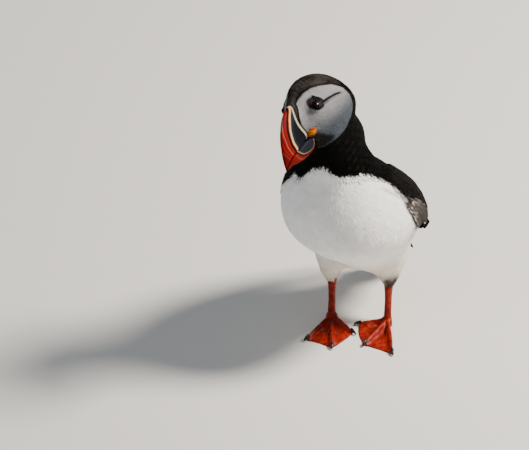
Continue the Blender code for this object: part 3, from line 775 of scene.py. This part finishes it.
def splitGrow(name, roots, look, slotName, material, wingValue=0.0, **more):
    # as many pieces as keep each of them small enough
    p, pick, weight = roots
    per = 2 * look["columns"] * len(look["profile"])
    parts = max(1, math.ceil(len(p) * per / mostTriangles))
    group = np.floor(np.arange(len(p)) * parts / len(p)).astype(int)
    order = np.argsort(p[:, 2], kind="stable")
    total = 0
    for k in range(parts):
        chosen = order[group == k]
        extra = {key: value[chosen] for key, value in more.items()}
        vanes = growVanes(p[chosen], pick[chosen], weight[chosen], look, **extra)
        pieceName = name + (str(k + 1) if parts > 1 else "")
        total += coatPiece(pieceName, vanes, material, look["colour"], wingValue)
    return total


def plainColour(spread, tipLight=0.0):
    def colourOf(p, share, which, wingValue):
        count = which.max() + 1
        tone = dice.standard_normal(count)
        warm = 1 + 0.02 * dice.standard_normal((count, 3))
        shift = 0.55 * dice.standard_normal(count)
        base = markings(p, np.full(len(p), wingValue), shift[which])
        lift = 1 + tipLight * (dice.random(count) ** 2)[which] * ease(0.5, 1.0, share)
        uneven = mix(0.3, spread, ease(0.03, 0.09, base.mean(axis=1)))     # dark feathers vary more
        varied = np.clip(1 + tone[which] * uneven, 0.5, 1.7)
        return base * varied[:, None] * warm[which] * lift[:, None]
    return colourOf


def tuftColour(p, share, which, wingValue):
    # brown-grey down, each feather its own shade, paler along the top of the tuft
    draw = dice.random(which.max() + 1)[which]
    pale = draw * mix(0.05, 0.75, ease(86, 108, p[:, 2])) * mix(1.0, 0.45, ease(14, 26, p[:, 1]))
    grey = tint(hue["flank"], "down", np.clip(pale + 0.15 * ease(0.6, 1.0, share), 0, 1))
    wisp = ease(0.8, 0.9, draw) * ease(16, 8, p[:, 1]) * ease(80, 88, p[:, 2])
    return tint(grey, "cream", 0.7 * wisp)


def wingColour(spread, edgeWearSheen):
    # dark brownish black, each feather with a paler edge, partly wear and partly painted sheen
    def colourOf(p, share, which, wingValue):
        count = which.max() + 1
        tone = np.clip(1 + spread * dice.standard_normal(count), 0.6, 1.6)[which]
        rim = ease(0.8, 1.0, share) * edgeWearSheen * dice.random(count)[which]
        return tint(hue["wing"] * tone[:, None], "edge", rim)
    return colourOf


onWings = np.maximum(wingness, onTail)
# outlines of a vane: share of its length, share of its width
slim = [(0.0, 0.5), (0.3, 0.95), (0.62, 1.0), (0.86, 0.66), (1.0, 0.0)]
silky = [(0.0, 0.5), (0.25, 1.0), (0.5, 0.9), (0.75, 0.5), (1.0, 0.0)]
broad = [(0.0, 0.4), (0.2, 0.85), (0.5, 1.0), (0.75, 0.95), (0.9, 0.66), (0.97, 0.34), (1.0, 0.0)]

# mm: spacing of the roots, length, width, lift at the tip and at the start; swing in degrees;
# free is the share of the length past which a vane leaves the skin, soft how far it shades as the skin does
commonLook = {"vary": 0.2, "start": -0.1, "bend": 0.1, "follow": 0.6, "free": 1.0, "soft": 0.0,
              "columns": 3, "profile": slim}
breastLook = dict(commonLook, spacing=1.2, length=11.0, width=1.35, vary=0.3, lift=0.45, swing=4,
                  camber=0.02, profile=silky, soft=0.75, colour=plainColour(0.02))
backLook = dict(commonLook, spacing=2.0, length=8.0, width=3.0, lift=1.2, swing=6, camber=0.10,
                colour=plainColour(0.18, 0.9))
neckLook = dict(commonLook, spacing=1.25, length=4.6, width=1.4, vary=0.25, lift=0.75, swing=9, bend=0.2,
                camber=0.10, colour=plainColour(0.25, 1.0))
headLook = dict(commonLook, spacing=0.82, length=2.8, width=0.9, lift=0.5, start=-0.06, swing=5,
                camber=0.03, soft=0.5, colour=plainColour(0.04))
thighLook = dict(commonLook, spacing=1.3, length=5.2, width=1.0, vary=0.4, lift=0.6, start=0.0, swing=8,
                 follow=0, free=0, camber=0.05, profile=silky, colour=plainColour(0.06))
tuftLook = dict(commonLook, spacing=0.95, length=4.6, width=1.1, vary=0.35, lift=1.6, start=0.5, swing=12,
                bend=0.3, follow=0.4, camber=0.04, profile=silky, soft=0.4, colour=tuftColour)
covertLook = dict(commonLook, spacing=2.9, length=8.0, width=4.6, vary=0.15, lift=0.85, start=0.0, swing=5,
                  bend=0.0, follow=0.5, camber=0.05, columns=5, profile=broad, colour=wingColour(0.15, 0.8))
quill = [(0, 0.5), (0.12, 0.85), (0.25, 1), (0.4, 1), (0.55, 0.98), (0.68, 0.94), (0.8, 0.84), (0.9, 0.64),
         (0.96, 0.4), (1, 0)]
quillLook = dict(covertLook, length=30.0, vary=0.05, start=0.05, swing=0.5, follow=0.0, free=0.8,
                 camber=0.03, profile=quill, colour=wingColour(0.1, 0.6))
rectrixLook = dict(quillLook, width=5.4, lift=0.4, free=0.5)


def bodyShare(p, pick, weight):
    # 1 where short feathers may root: off the wings, the bare parts and the openings of the eyes
    h = toHead(p)
    onFace = (p[:, 2] > 165) * (np.abs(h[:, 1]) < 9) * (h[:, 0] > -3)
    clear = np.where(onFace * (h[:, 2] > -4), loreGap(h) > 0.5, perPoint(toBare, pick, weight) > 0.8)
    rosette = ((h[:, 0] + 0.1) / 4.5) ** 2 + ((h[:, 2] + 1.6) / 2.9) ** 2 > 1
    clear = clear * (rosette + ~onFace) * (perPoint(fromAxis, pick, weight) > 46)
    return clear * (perPoint(onWings, pick, weight) < 0.5)


def headLevel(p):
    h = toHead(p)
    return p[:, 2] - 158 + 0.25 * (h[:, 0] + 20)


def breastRegion(p, pick, weight):
    return bodyShare(p, pick, weight) * ((blackness(p) < 1.0) | (flankPatch(p) > 0.35)) * (p[:, 2] < 152)


def backRegion(p, pick, weight):
    return bodyShare(p, pick, weight) * (blackness(p) > -0.6) * (p[:, 2] < 128)


def neckRegion(p, pick, weight):
    return bodyShare(p, pick, weight) * (blackness(p) > -0.6) * (p[:, 2] >= 126) * (headLevel(p) < 2)


def headRegion(p, pick, weight):
    return bodyShare(p, pick, weight) * (headLevel(p) > -1)


def tuftRegion(p, pick, weight):
    return ease(0.3, 0.7, flankPatch(p))


def thighRegion(p, pick, weight):
    near = np.min([np.linalg.norm(p[:, :2] - at, axis=1) for at in legAxes.values()], axis=0)
    clear = perPoint(toBare, pick, weight) > 0.5
    return (near < 10.5) * (near > 5) * (p[:, 2] < 37) * (p[:, 2] > 29) * clear


def covertRegion(p, pick, weight):
    onWing = (perPoint(wingness, pick, weight) > 0.5) * (perPoint(onTail, pick, weight) < 0.5)
    return onWing * ease(66, 74, p[:, 2] + 0.25 * p[:, 1])


coatTriangles = 0
for name, look, region, coat in (("breastFeathers", breastLook, breastRegion, whiteCoat),
                                 ("backFeathers", backLook, backRegion, blackCoat),
                                 ("neckFeathers", neckLook, neckRegion, blackCoat),
                                 ("headFeathers", headLook, headRegion, faceCoat)):
    coatTriangles += splitGrow(name, scatter(look["spacing"], region), look, *coat)
# the thigh feathers draw together towards each leg
tufts = scatter(thighLook["spacing"], thighRegion)
axes = np.stack([at - tufts[0][:, :2] for at in legAxes.values()])
nearest = np.linalg.norm(axes, axis=2).argmin(axis=0)[None, :, None]
inward = np.take_along_axis(axes, nearest, axis=0)[0]
coatTriangles += splitGrow("thighTufts", tufts, thighLook, *whiteCoat,
                           heading=unit(np.column_stack([0.09 * inward, np.full(len(inward), -1.0)])))
coatTriangles += splitGrow("covertFeathers", scatter(covertLook["spacing"], covertRegion), covertLook,
                           *blackCoat, 1.0)

# edges of the folded wing from its bend to its tip: height and angle of the front one, then of the back one
wingEdges = [(127, 86, 130, 108), (117, 96, 129, 130), (105, 103.5, 120, 146), (92, 107.5, 108, 156),
             (78, 110, 93, 163), (65, 119, 77, 168), (52.5, 126, 61, 171), (42, 145, 46, 172),
             (33, 155, 34, 169)]
wingMiddle = ((33, 54), (36, 51), (60, 25), (88, 4), (118, -8), (130, -12))     # height, y inside the wing


def wingPoint(sign, along, across):
    # place on a wing: along 0 to 8 towards the tip, across 0 to 1 from the front edge to the back
    edges = [np.interp(along, range(len(wingEdges)), column) for column in zip(*wingEdges)]
    low, lowTurn, high, highTurn = edges
    level, turn = mix(low, high, across), np.radians(mix(lowTurn, highTurn, across))
    middle = np.array([0.0, readCurve(wingMiddle, level), level])
    out = np.array([sign * math.sin(turn), -math.cos(turn), 0.0])
    hit = skinTree.ray_cast(Vector(middle + 90 * out), Vector(-out))[0]
    return np.array(hit if hit else middle + 30 * out)


def quillRow(name, roots, tips, look):
    # long feathers laid from each root to its own tip
    roots, tips = np.array(roots, float), np.array(tips, float)
    at, normal, tri = onSkin(roots)
    reach = tips - at
    sizes = np.linalg.norm(reach, axis=1) / look["length"]
    return splitGrow(name, (at, tri, np.full((len(at), 3), 1 / 3)), look, *blackCoat, 1.0,
                     sizes=sizes, heading=alongSurface(reach, normal))


# row: count, root (along, across) of its first and last feather, tip of its first and last, width, lift
wingRows = {"primaries": (9, (4.6, 0.12), (5.6, 0.5), (5.6, 0.0), (8.3, 0.5), 6.2, 0.35),
            "secondaries": (13, (3.4, 0.1), (4.6, 0.92), (5.1, 0.04), (6.6, 0.9), 6.6, 0.75),
            "greaterCoverts": (15, (2.7, 0.06), (3.5, 0.95), (3.7, 0.02), (4.9, 0.95), 5.6, 1.05)}
for side, sign in bothSides:
    for name, (count, rootA, rootB, tipA, tipB, width, lift) in wingRows.items():
        share = [k / (count - 1) for k in range(count)]
        roots = [wingPoint(sign, *mix(np.array(rootA), np.array(rootB), t)) for t in share]
        tips = [wingPoint(sign, *mix(np.array(tipA), np.array(tipB), t)) for t in share]
        coatTriangles += quillRow(name + side.title(), roots, tips, dict(quillLook, width=width, lift=lift))
# row: count, root and tip (y, z) of its middle; the fan is wider at its tip and rounded at its sides
tailFan = {"rootHalf": 6.5, "tipHalf": 10.0, "shorter": 2.2, "higher": 5.0}
tailRows = {"tailFeathers": (12, (55.0, 45.0), (75.0, 17.0)),
            "tailUnder": (8, (60.0, 33.0), (73.6, 17.0))}
tailLow, tailHigh = [np.array(c) * 1000 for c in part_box("tail")]
tailMiddle = (tailLow[0] + tailHigh[0]) / 2
for name, (count, root, tip) in tailRows.items():
    spread = np.linspace(-1, 1, count)
    roots = [(tailMiddle + tailFan["rootHalf"] * x, *root) for x in spread]
    tips = [(tailMiddle + tailFan["tipHalf"] * x, tip[0] - tailFan["shorter"] * x * x,
             tip[1] + tailFan["higher"] * x * x) for x in spread]
    coatTriangles += quillRow(name, roots, tips, rectrixLook)
coatTriangles += splitGrow("flankTufts", scatter(tuftLook["spacing"], tuftRegion), tuftLook, *whiteCoat)
print("coat:", coatTriangles, "triangles in all")

billLook = {"rows": 9, "sides": 64, "slant": 2.6, "ridge": 0.45, "strip": 0.45, "groove": 0.25, "sink": 0.3,
            "upperGrooves": (1.3, 4.6, 7.2), "lowerGrooves": (0.9, 3.4)}
# ridge between the slate and the red: up, forward
ridgeCurve = [(-10, 15.4), (-6, 16.8), (-2.5, 18.2), (0.9, 18.8), (3.1, 18.6), (6, 17.6), (9.6, 15.9),
              (11.8, 14.2), (14.4, 11.6), (15.5, 10.4), (16.6, 8.9), (18.4, 5.8), (19.9, 3.2), (21, 1.6),
              (23, 0)]
squash = ((-5, 1.0), (6, 0.97), (14, 0.75), (20, 0.62))
lowerPlate = [(-8, -3), (16.8, -3), (16.6, -5.4), (15.6, -7.8), (13.4, -9.8), (9.5, -11.6), (5, -12.6),
              (2.0, -12.8), (0.2, -11.2), (-0.3, -8.5), (-0.2, -6), (-1, -3)]


def billBands(p, upper):
    # distance past the ridge that bounds the slate plate, and past the pale strip at the base, mm
    h = toHead(p)
    if not upper:
        return -insideBy(h[:, [0, 2]], lowerPlate), np.full(len(p), 9.0)
    past = (h[:, 0] - readCurve(ridgeCurve, h[:, 2])) * readCurve(squash, h[:, 2])
    return past, -loreGap(h) - 0.9


def billPiece(name, rows, upper, material, node):
    length = rows[-1][0]
    rings = []
    for forward, half, low, high in smoothRows(rows, billLook["rows"]):
        slant = billLook["slant"] * (1 - max(forward, 0) / length)
        angles = np.linspace(0, 2 * math.pi, billLook["sides"], endpoint=False)
        ring = [billPoint(angle, forward, half, low, high, upper, slant) for angle in angles]
        rings.append(fromHead(ring))
    mesh = loftRings(rings, name)
    p = meshPoints(mesh)
    past, base = billBands(p, upper)
    bump = billLook["ridge"] * np.exp(-((past + 0.3) / 0.8) ** 2)
    grooves = billLook["upperGrooves" if upper else "lowerGrooves"]
    bump -= billLook["groove"] * sum(np.exp(-((past - at) / 0.45) ** 2) for at in grooves)
    bump += billLook["strip"] * np.exp(-(base / 0.8) ** 2)
    setPoints(mesh, insideBox(p + meshNormals(mesh) * (bump - billLook["sink"])[:, None], 0.02))
    paint(mesh, "past", past)
    paint(mesh, "base", base)
    print(name + ":", len(mesh.vertices), "vertices")
    newPiece(name, mesh, material, (node,))


def hornBands(name, stops, stripColour):
    # bill horn: satin plates banded slate, cream and red, worn pale in the grooves
    mat, tree, shader = newMaterial(name, roughness=0.58, specular=0.05, ior=1.54)
    first, last = -12.0, 14.0
    past = addNode(tree, "Attribute", {"attribute_name": "past"})
    base = addNode(tree, "Attribute", {"attribute_name": "base"})
    place = {"Vector": addNode(tree, "TexCoord").outputs["Object"]}
    wobble = addNode(tree, "TexNoise", {"Scale": 220.0, "Detail": 3.0}, place)
    off = addNode(tree, "Math", {"operation": "MULTIPLY_ADD", 1: 0.5},
                  {0: wobble.outputs["Fac"], 2: past.outputs["Fac"]})
    at = addNode(tree, "MapRange", {"From Min": first + 0.25, "From Max": last + 0.25},
                 {"Value": off.outputs[0]})
    bands = addNode(tree, "ValToRGB", {}, {"Fac": at.outputs[0]},
                    [((x - first) / (last - first), colour) for x, colour in stops])
    stripAt = addNode(tree, "MapRange", {"From Min": -2.0, "From Max": 1.0}, {"Value": base.outputs["Fac"]})
    strip = addNode(tree, "ValToRGB", {}, {"Fac": stripAt.outputs[0]},
                    ((0.28, 0.1), (0.42, 1.0), (0.82, 1.0), (0.92, 0.0)))
    both = addNode(tree, "Mix", {"data_type": "RGBA", 7: (*srgb(stripColour), 1)},
                   {0: strip.outputs[0], 6: bands.outputs[0]})
    grain = addNode(tree, "TexNoise", {"Scale": 700.0, "Detail": 4.0}, place)
    tone = addNode(tree, "ValToRGB", {}, {"Fac": grain.outputs["Fac"]}, ((0.35, 0.72), (0.65, 1.0)))
    final = addNode(tree, "Mix", {"data_type": "RGBA", "blend_type": "MULTIPLY", 0: 0.7},
                    {6: both.outputs[2], 7: tone.outputs[0]})
    bump = addNode(tree, "Bump", {"Strength": 0.3, "Distance": 0.0002}, {"Height": grain.outputs["Fac"]})
    tree.links.new(final.outputs[2], shader.inputs["Base Color"])
    tree.links.new(bump.outputs[0], shader.inputs["Normal"])
    return mat


# mm past the ridge and the colour there
upperBands = [(-12, "#080a10"), (-4.4, "#0a0d14"), (-2.8, "#1b202b"), (-1.9, "#12151c"), (-1.5, "#c3a06e"),
              (-0.1, "#d6ae7c"), (0.15, "#a04a14"), (0.45, "#5c1404"), (0.65, "#060302"), (1.9, "#060302"),
              (2.1, "#7d0300"), (4.2, "#740300"), (4.45, "#7d4f47"), (4.85, "#7d4f47"), (5.05, "#7a0300"),
              (7.0, "#700300"), (7.2, "#5c2a24"), (7.45, "#6c0300"), (8.9, "#650300"), (9.5, "#682a24"),
              (10.1, "#5a0b08"), (11, "#560200")]
lowerBands = [(-12, "#161922"), (-1.5, "#171a23"), (-0.55, "#211a18"), (-0.3, "#7d7266"), (0.2, "#84775f"),
              (0.45, "#4e0903"), (0.8, "#070302"), (1.4, "#070302"), (1.7, "#760300"), (3.1, "#700300"),
              (3.4, "#704b43"), (3.8, "#6c0300"), (10, "#560200")]
billPiece("billUpper", upperRows, True, hornBands("UpperBillHorn", upperBands, "#a9a08c"), "bill_upper")
billPiece("billLower", lowerRows, False, hornBands("LowerBillHorn", lowerBands, "#8d8072"), "bill_lower")


def simpleSkin(name, colours, roughness, specular, scale, depth, coat=0.0):
    # bare skin or horn: two close colours mottled, wrinkled by a fine bump
    mat, tree, shader = newMaterial(name, roughness, specular, 1.45, Coat_Weight=coat, Coat_Roughness=0.25)
    place = addNode(tree, "TexCoord")
    mottle = addNode(tree, "TexNoise", {"Scale": scale, "Detail": 5.0}, {"Vector": place.outputs["Object"]})
    ramp = addNode(tree, "ValToRGB", {}, {"Fac": mottle.outputs["Fac"]},
                   ((0.35, colours[0]), (0.65, colours[1])))
    bump = addNode(tree, "Bump", {"Strength": 0.5, "Distance": depth}, {"Height": mottle.outputs["Fac"]})
    tree.links.new(ramp.outputs[0], shader.inputs["Base Color"])
    tree.links.new(bump.outputs[0], shader.inputs["Normal"])
    return mat


# wet eye: a dark brown iris that is hardly lighter than its pupil
eyeMat, eyeTree, eyeShader = newMaterial("WetEye", roughness=0.05, specular=0.25, ior=1.38,
                                         Coat_Weight=0.1, Coat_Roughness=0.03)
iris = addNode(eyeTree, "Attribute", {"attribute_name": "offAxis"})
irisRamp = addNode(eyeTree, "ValToRGB", {}, {"Fac": iris.outputs["Fac"]},
                   ((0.0, "#020202"), (0.40, "#020202"), (0.46, "#120a07"), (0.75, "#0d0705"),
                    (0.85, "#0a0706"), (1.0, "#0a0706")))
eyeTree.links.new(irisRamp.outputs[0], eyeShader.inputs["Base Color"])
# bare skin, dark red and a little moist
ringMat = simpleSkin("RedEyeRing", ("#240302", "#540805"), roughness=0.5, specular=0.25, scale=900.0,
                     depth=0.0002, coat=0.2)
# dull blue-black horn, painted nearly black as shade round the eye
plateMat = simpleSkin("SlatePlate", ("#040506", "#0c0d10"), roughness=0.65, specular=0.06, scale=500.0,
                      depth=0.0002)
# soft wrinkled skin, orange to yellow
rosetteMat = simpleSkin("RosetteSkin", ("#7a2600", "#a06000"), roughness=0.6, specular=0.1, scale=420.0,
                        depth=0.0005, coat=0.05)

eyeLook = {"radius": 4.05, "segments": 48, "rings": 32, "open": 44.0, "tube": 0.30, "tubeLift": 0.12}
for side, middle in eyeMiddle.items():
    centre, outward = Vector(middle) / 1000, Vector(eyeAxis[side])
    bm = bmesh.new()
    bmesh.ops.create_uvsphere(bm, u_segments=eyeLook["segments"], v_segments=eyeLook["rings"],
                              radius=eyeLook["radius"] / 1000)
    turn = Vector((0, 0, 1)).rotation_difference(outward).to_matrix().to_4x4()
    bmesh.ops.transform(bm, matrix=Matrix.Translation(centre) @ turn, verts=bm.verts)
    mesh = bmeshToMesh(bm, "eye")
    facing = unit(meshPoints(mesh) - middle) @ eyeAxis[side]
    paint(mesh, "offAxis", np.degrees(np.arccos(np.clip(facing, -1, 1))) / 60)
    newPiece("eye" + side.title(), mesh, eyeMat, ("eye_" + side,))
    # red ring of bare skin round the opening
    bm = bmesh.new()
    bmesh.ops.create_circle(bm, segments=10, radius=eyeLook["tube"] / 1000, cap_ends=False)
    around = math.radians(eyeLook["open"])
    cross = outward.orthogonal().normalized()
    face = Matrix((cross, outward, outward.cross(cross))).transposed().to_4x4()
    reach = eyeLook["radius"] + eyeLook["tubeLift"]
    rim = centre + (outward * math.cos(around) + cross * math.sin(around)) * reach / 1000
    bmesh.ops.transform(bm, matrix=Matrix.Translation(rim) @ face, verts=bm.verts)
    bmesh.ops.spin(bm, geom=bm.verts[:] + bm.edges[:], cent=centre, axis=outward, angle=2 * math.pi,
                   steps=48, use_merge=True, use_duplicate=False)
    bmesh.ops.remove_doubles(bm, verts=bm.verts, dist=1e-6)
    newPiece("eyeRing" + side.title(), bmeshToMesh(bm, "ring"), ringMat)


plateLook = {"rings": 7, "brow": 0.5, "under": 0.45, "sink": 0.6, "overEye": 4.2}


def lyingPatch(name, outline, side, sign, thick):
    # a low closed cushion of horn on the head, its outline given as (forward, up) in the head frame
    line = smoothRows(outline + outline[:1], 6)[:-1]
    middle = line.mean(axis=0)
    inward = headMatrix @ np.array([-sign, 0.0, 0.0])
    rows = []
    for k in range(plateLook["rings"] + 1):
        quarter = k / plateLook["rings"] * math.pi / 2
        ring = mix(middle, line, max(math.sin(quarter), 0.04))
        guess = fromHead([(forward, sign * 18, up) for forward, up in ring])
        hits = [skinTree.ray_cast(Vector(q), Vector(inward)) for q in guess]
        at = np.array([hit[0] if hit[0] else Vector(q) for hit, q in zip(hits, guess)], float)
        normal = np.array([triNormal[hit[2]] if hit[2] is not None else -inward for hit in hits])
        # over the opening of the eye the patch lies on the eyeball
        toBall = eyeMiddle[side] - guess
        ahead = toBall @ inward
        half = plateLook["overEye"] ** 2 - (np.sum(toBall ** 2, axis=1) - ahead ** 2)
        onBall = guess + inward * (ahead - np.sqrt(np.maximum(half, 0)))[:, None]
        nearer = ((half > 0) & (np.sum((onBall - at) * inward, axis=1) < 0))[:, None]
        at = np.where(nearer, onBall, at)
        normal = np.where(nearer, unit(onBall - guess - toBall), normal)
        rows.append(at + normal * (thick * math.cos(quarter) ** 0.7))
    rows.append(at - normal * plateLook["sink"])
    newPiece(name + side.title(), loftRings(rows, name), plateMat)


browLine = [(-10.6, 15.0), (-12.0, 17.6), (-14.8, 17.6), (-15.6, 15.3), (-16.6, 12.6), (-17.0, 10.4),
            (-14.6, 10.8), (-11.8, 12.8)]
underLine = [(-7.4, 14.6), (-6.3, 12.6), (-6.6, 10.6), (-8.2, 9.0), (-11.8, 8.4), (-14.9, 9.0), (-13.6, 9.8),
             (-10.4, 9.8), (-8.2, 11.0), (-7.8, 12.8)]
# folded disc at the corner of the mouth: half sizes and middle in the head frame
rosetteLook = {"half": (4.4, 3.6, 2.6), "middle": (-0.1, 6.9, -1.6), "folds": 9, "foldDepth": 0.07}
for side, sign in bothSides:
    lyingPatch("browPlate", browLine, side, sign, plateLook["brow"])
    lyingPatch("underPlate", underLine, side, sign, plateLook["under"])
    bm = bmesh.new()
    bmesh.ops.create_uvsphere(bm, u_segments=64, v_segments=40, radius=1.0)
    mesh = bmeshToMesh(bm, "rosette")
    ball = meshPoints(mesh) / 1000
    wave = np.cos(rosetteLook["folds"] * np.arctan2(ball[:, 2], ball[:, 1]))
    ball = ball * (1 + rosetteLook["foldDepth"] * wave * np.linalg.norm(ball[:, 1:], axis=1))[:, None]
    shaped = ball[:, [1, 0, 2]] * rosetteLook["half"] + np.array(rosetteLook["middle"]) * (1, sign, 1)
    setPoints(mesh, insideBox(fromHead(shaped)))
    newPiece("rosette" + side.title(), mesh, rosetteMat, ("rosette_" + side,))
print("eyes, plates and rosettes are on")

# scaly skin, deep orange red with a low gloss
legMat = simpleSkin("LegSkin", ("#5e0a00", "#931b00"), roughness=0.45, specular=0.2, scale=320.0,
                    depth=0.0003, coat=0.03)
# polished black horn
clawMat = simpleSkin("ClawHorn", ("#060505", "#15110f"), roughness=0.35, specular=0.4, scale=300.0,
                     depth=0.0002, coat=0.15)
footLook = {"voxel": 0.5, "rounds": 3, "scute": 0.08, "toeScutes": 1.5, "shankScutes": 1.9, "fold": 0.12,
            "shankRadius": 2.6, "slimmer": 0.35, "webGrowth": 0.05, "claw": 4.6, "clawRadius": 1.5}
# joint of the toes (x, y), turn of the foot, side of the inner toe, and length and angle of each toe
footPlaces = {"left": ((20.812, 14.715), -9.0, 1, ((18.5, -52.0), (28.5, 2.0), (34.5, 38.0))),
              "right": ((-14.988, 5.115), 24.0, -1, ((21.5, -39.0), (33.0, 0.0), (29.0, 34.0)))}


def clawMesh(joint, length, heading):
    # thick at the root, hooked down to the ground
    along = np.array([math.sin(heading), -math.cos(heading), 0.0])
    across = np.array([math.cos(heading), math.sin(heading), 0.0])
    angles = np.linspace(0, 2 * np.pi, 16, endpoint=False)[:, None]
    rings = []
    for t in np.linspace(0, 1, 14):
        out = length - 1.2 + footLook["claw"] * math.sin(t * 1.45) / math.sin(1.45)
        middle = np.array([*joint, 0.0]) + along * out
        middle[2] = 0.35 + 2.1 * math.cos(t * 1.5) ** 0.8
        radius = footLook["clawRadius"] * (1 - 0.75 * t ** 1.6)
        tilt = unit(along * (1 - 0.8 * t) + np.array([0, 0, -1.1]) * t)
        rise = np.cross(tilt, across)
        rise = rise * np.sign(rise[2] + 1e-6)
        ring = middle + 0.72 * radius * np.cos(angles) * across + radius * np.sin(angles) * rise
        ring[:, 2] = np.maximum(ring[:, 2], 0.05)
        rings.append(ring)
    return loftRings(rings, "claw")


for side, (joint, turn, sign, toes) in footPlaces.items():
    mesh = finerCopy(("foot_" + side, "tarsus_" + side), "leg", footLook["voxel"], footLook["rounds"])
    p = meshPoints(mesh)
    off = p[:, :2] - np.array(joint)
    radius = np.linalg.norm(off, axis=1)
    angle = sign * (np.degrees(np.arctan2(off[:, 0], -off[:, 1])) - turn)
    # narrower behind the ankle, and the edge of the web a little further out
    behind = ease(80, 105, np.abs((angle + 180) % 360 - 180)) * ease(12, 8, p[:, 2])
    web = radius * (1 + footLook["webGrowth"] * ease(10, 26, radius))
    shank = footLook["shankRadius"]
    reach = mix(web, shank + footLook["slimmer"] * (radius - shank), behind * (radius > shank))
    p[:, :2] = np.array(joint) + off * (reach / np.maximum(radius, 0.01))[:, None]
    toe = np.zeros(len(p))
    for _, at in toes:
        aside = radius * np.sin(np.radians(angle - at))
        toe = np.maximum(toe, ease(2.2, 1.2, np.abs(aside)) * (np.abs(angle - at) < 60))
    # scutes across the toes and the shank, folds fanning over the web
    top = ease(0.5, 1.2, p[:, 2]) * ease(8, 5, p[:, 2])
    scutes = np.sin(radius * 2 * np.pi / footLook["toeScutes"])
    relief = footLook["scute"] * scutes * toe * top * ease(4, 8, radius)
    relief += footLook["fold"] * np.sin(angle * 0.9 + waves(p, 4, 4)) * (1 - toe) * top * ease(5, 12, radius)
    scutes = np.sin(p[:, 2] * 2 * np.pi / footLook["shankScutes"] + np.arctan2(off[:, 0], off[:, 1]))
    relief += footLook["scute"] * scutes * ease(6, 9, p[:, 2])
    p = p + meshNormals(mesh) * (relief - 0.05)[:, None]
    p[:, 2] = np.maximum(p[:, 2], 0.0)
    setPoints(mesh, insideBox(p))
    newPiece("leg" + side.title(), mesh, legMat, ("foot_" + side, "tarsus_" + side))
    for toeName, (length, at) in zip(("inner", "middle", "outer"), toes):
        claw = clawMesh(joint, length, math.radians(sign * at + turn))
        setPoints(claw, insideBox(meshPoints(claw)))
        newPiece("claw" + toeName.title() + side.title(), claw, clawMat,
                 ("claw_" + toeName + "_" + side,))
print("legs, feet and claws are on")

# pale matt floor, soft studio light and camera
bm = bmesh.new()
bmesh.ops.create_grid(bm, x_segments=2, y_segments=2, size=60.0)
floor = linkNew("floor", bmeshToMesh(bm, "floor"))
floorMat, _, floorShader = newMaterial("PaleFloor", 0.8)
floorShader.inputs["Base Color"].default_value = (*srgb("#d9d7d3"), 1)
floor.data.materials.append(floorMat)

world = bpy.data.worlds.new("studio")
bpy.context.scene.world = world
world.use_nodes = True
sky = world.node_tree.nodes["Background"]
sky.inputs["Color"].default_value = (*srgb("#e6ebf0"), 1)
sky.inputs["Strength"].default_value = 0.38


def areaLight(name, at, aim, size, power, colour):
    lamp = bpy.data.lights.new(name, "AREA")
    lamp.shape = "DISK"
    lamp.size = size
    lamp.energy = power
    lamp.color = tuple(srgb(colour))
    made = linkNew(name, lamp)
    made.location = at
    made.rotation_euler = (Vector(aim) - Vector(at)).to_track_quat("-Z", "Y").to_euler()


areaLight("key", at=(0.85, 0.5, 1.2), aim=(0, 0, 0.12), size=0.4, power=58, colour="#fff6ea")
areaLight("fill", at=(-1.2, -1.3, 0.9), aim=(0, 0, 0.1), size=1.4, power=6, colour="#c4daf5")

# turn round the bird and height in degrees, distance and shifts of the aim in metres
camLook = {"around": 24, "above": 34, "distance": 12.0, "aside": -0.0624183, "raised": 0.0601307,
           "lens": 1242.6}
around, above = math.radians(camLook["around"]), math.radians(camLook["above"])
back = Vector((math.sin(around) * math.cos(above), -math.cos(around) * math.cos(above), math.sin(above)))
right = Vector((math.cos(around), math.sin(around), 0))
up = back.cross(right)
aim = Vector((0.002812, 0.009915, 0.004)) + right * camLook["aside"] + up * camLook["raised"]
camData = bpy.data.cameras.new("camera")
camData.lens = camLook["lens"]
camData.clip_end = 40
cam = linkNew("camera", camData)
cam.location = aim + back * camLook["distance"]
cam.rotation_euler = back.to_track_quat("Z", "Y").to_euler()
bpy.context.scene.camera = cam
print("floor, lights and camera are set")
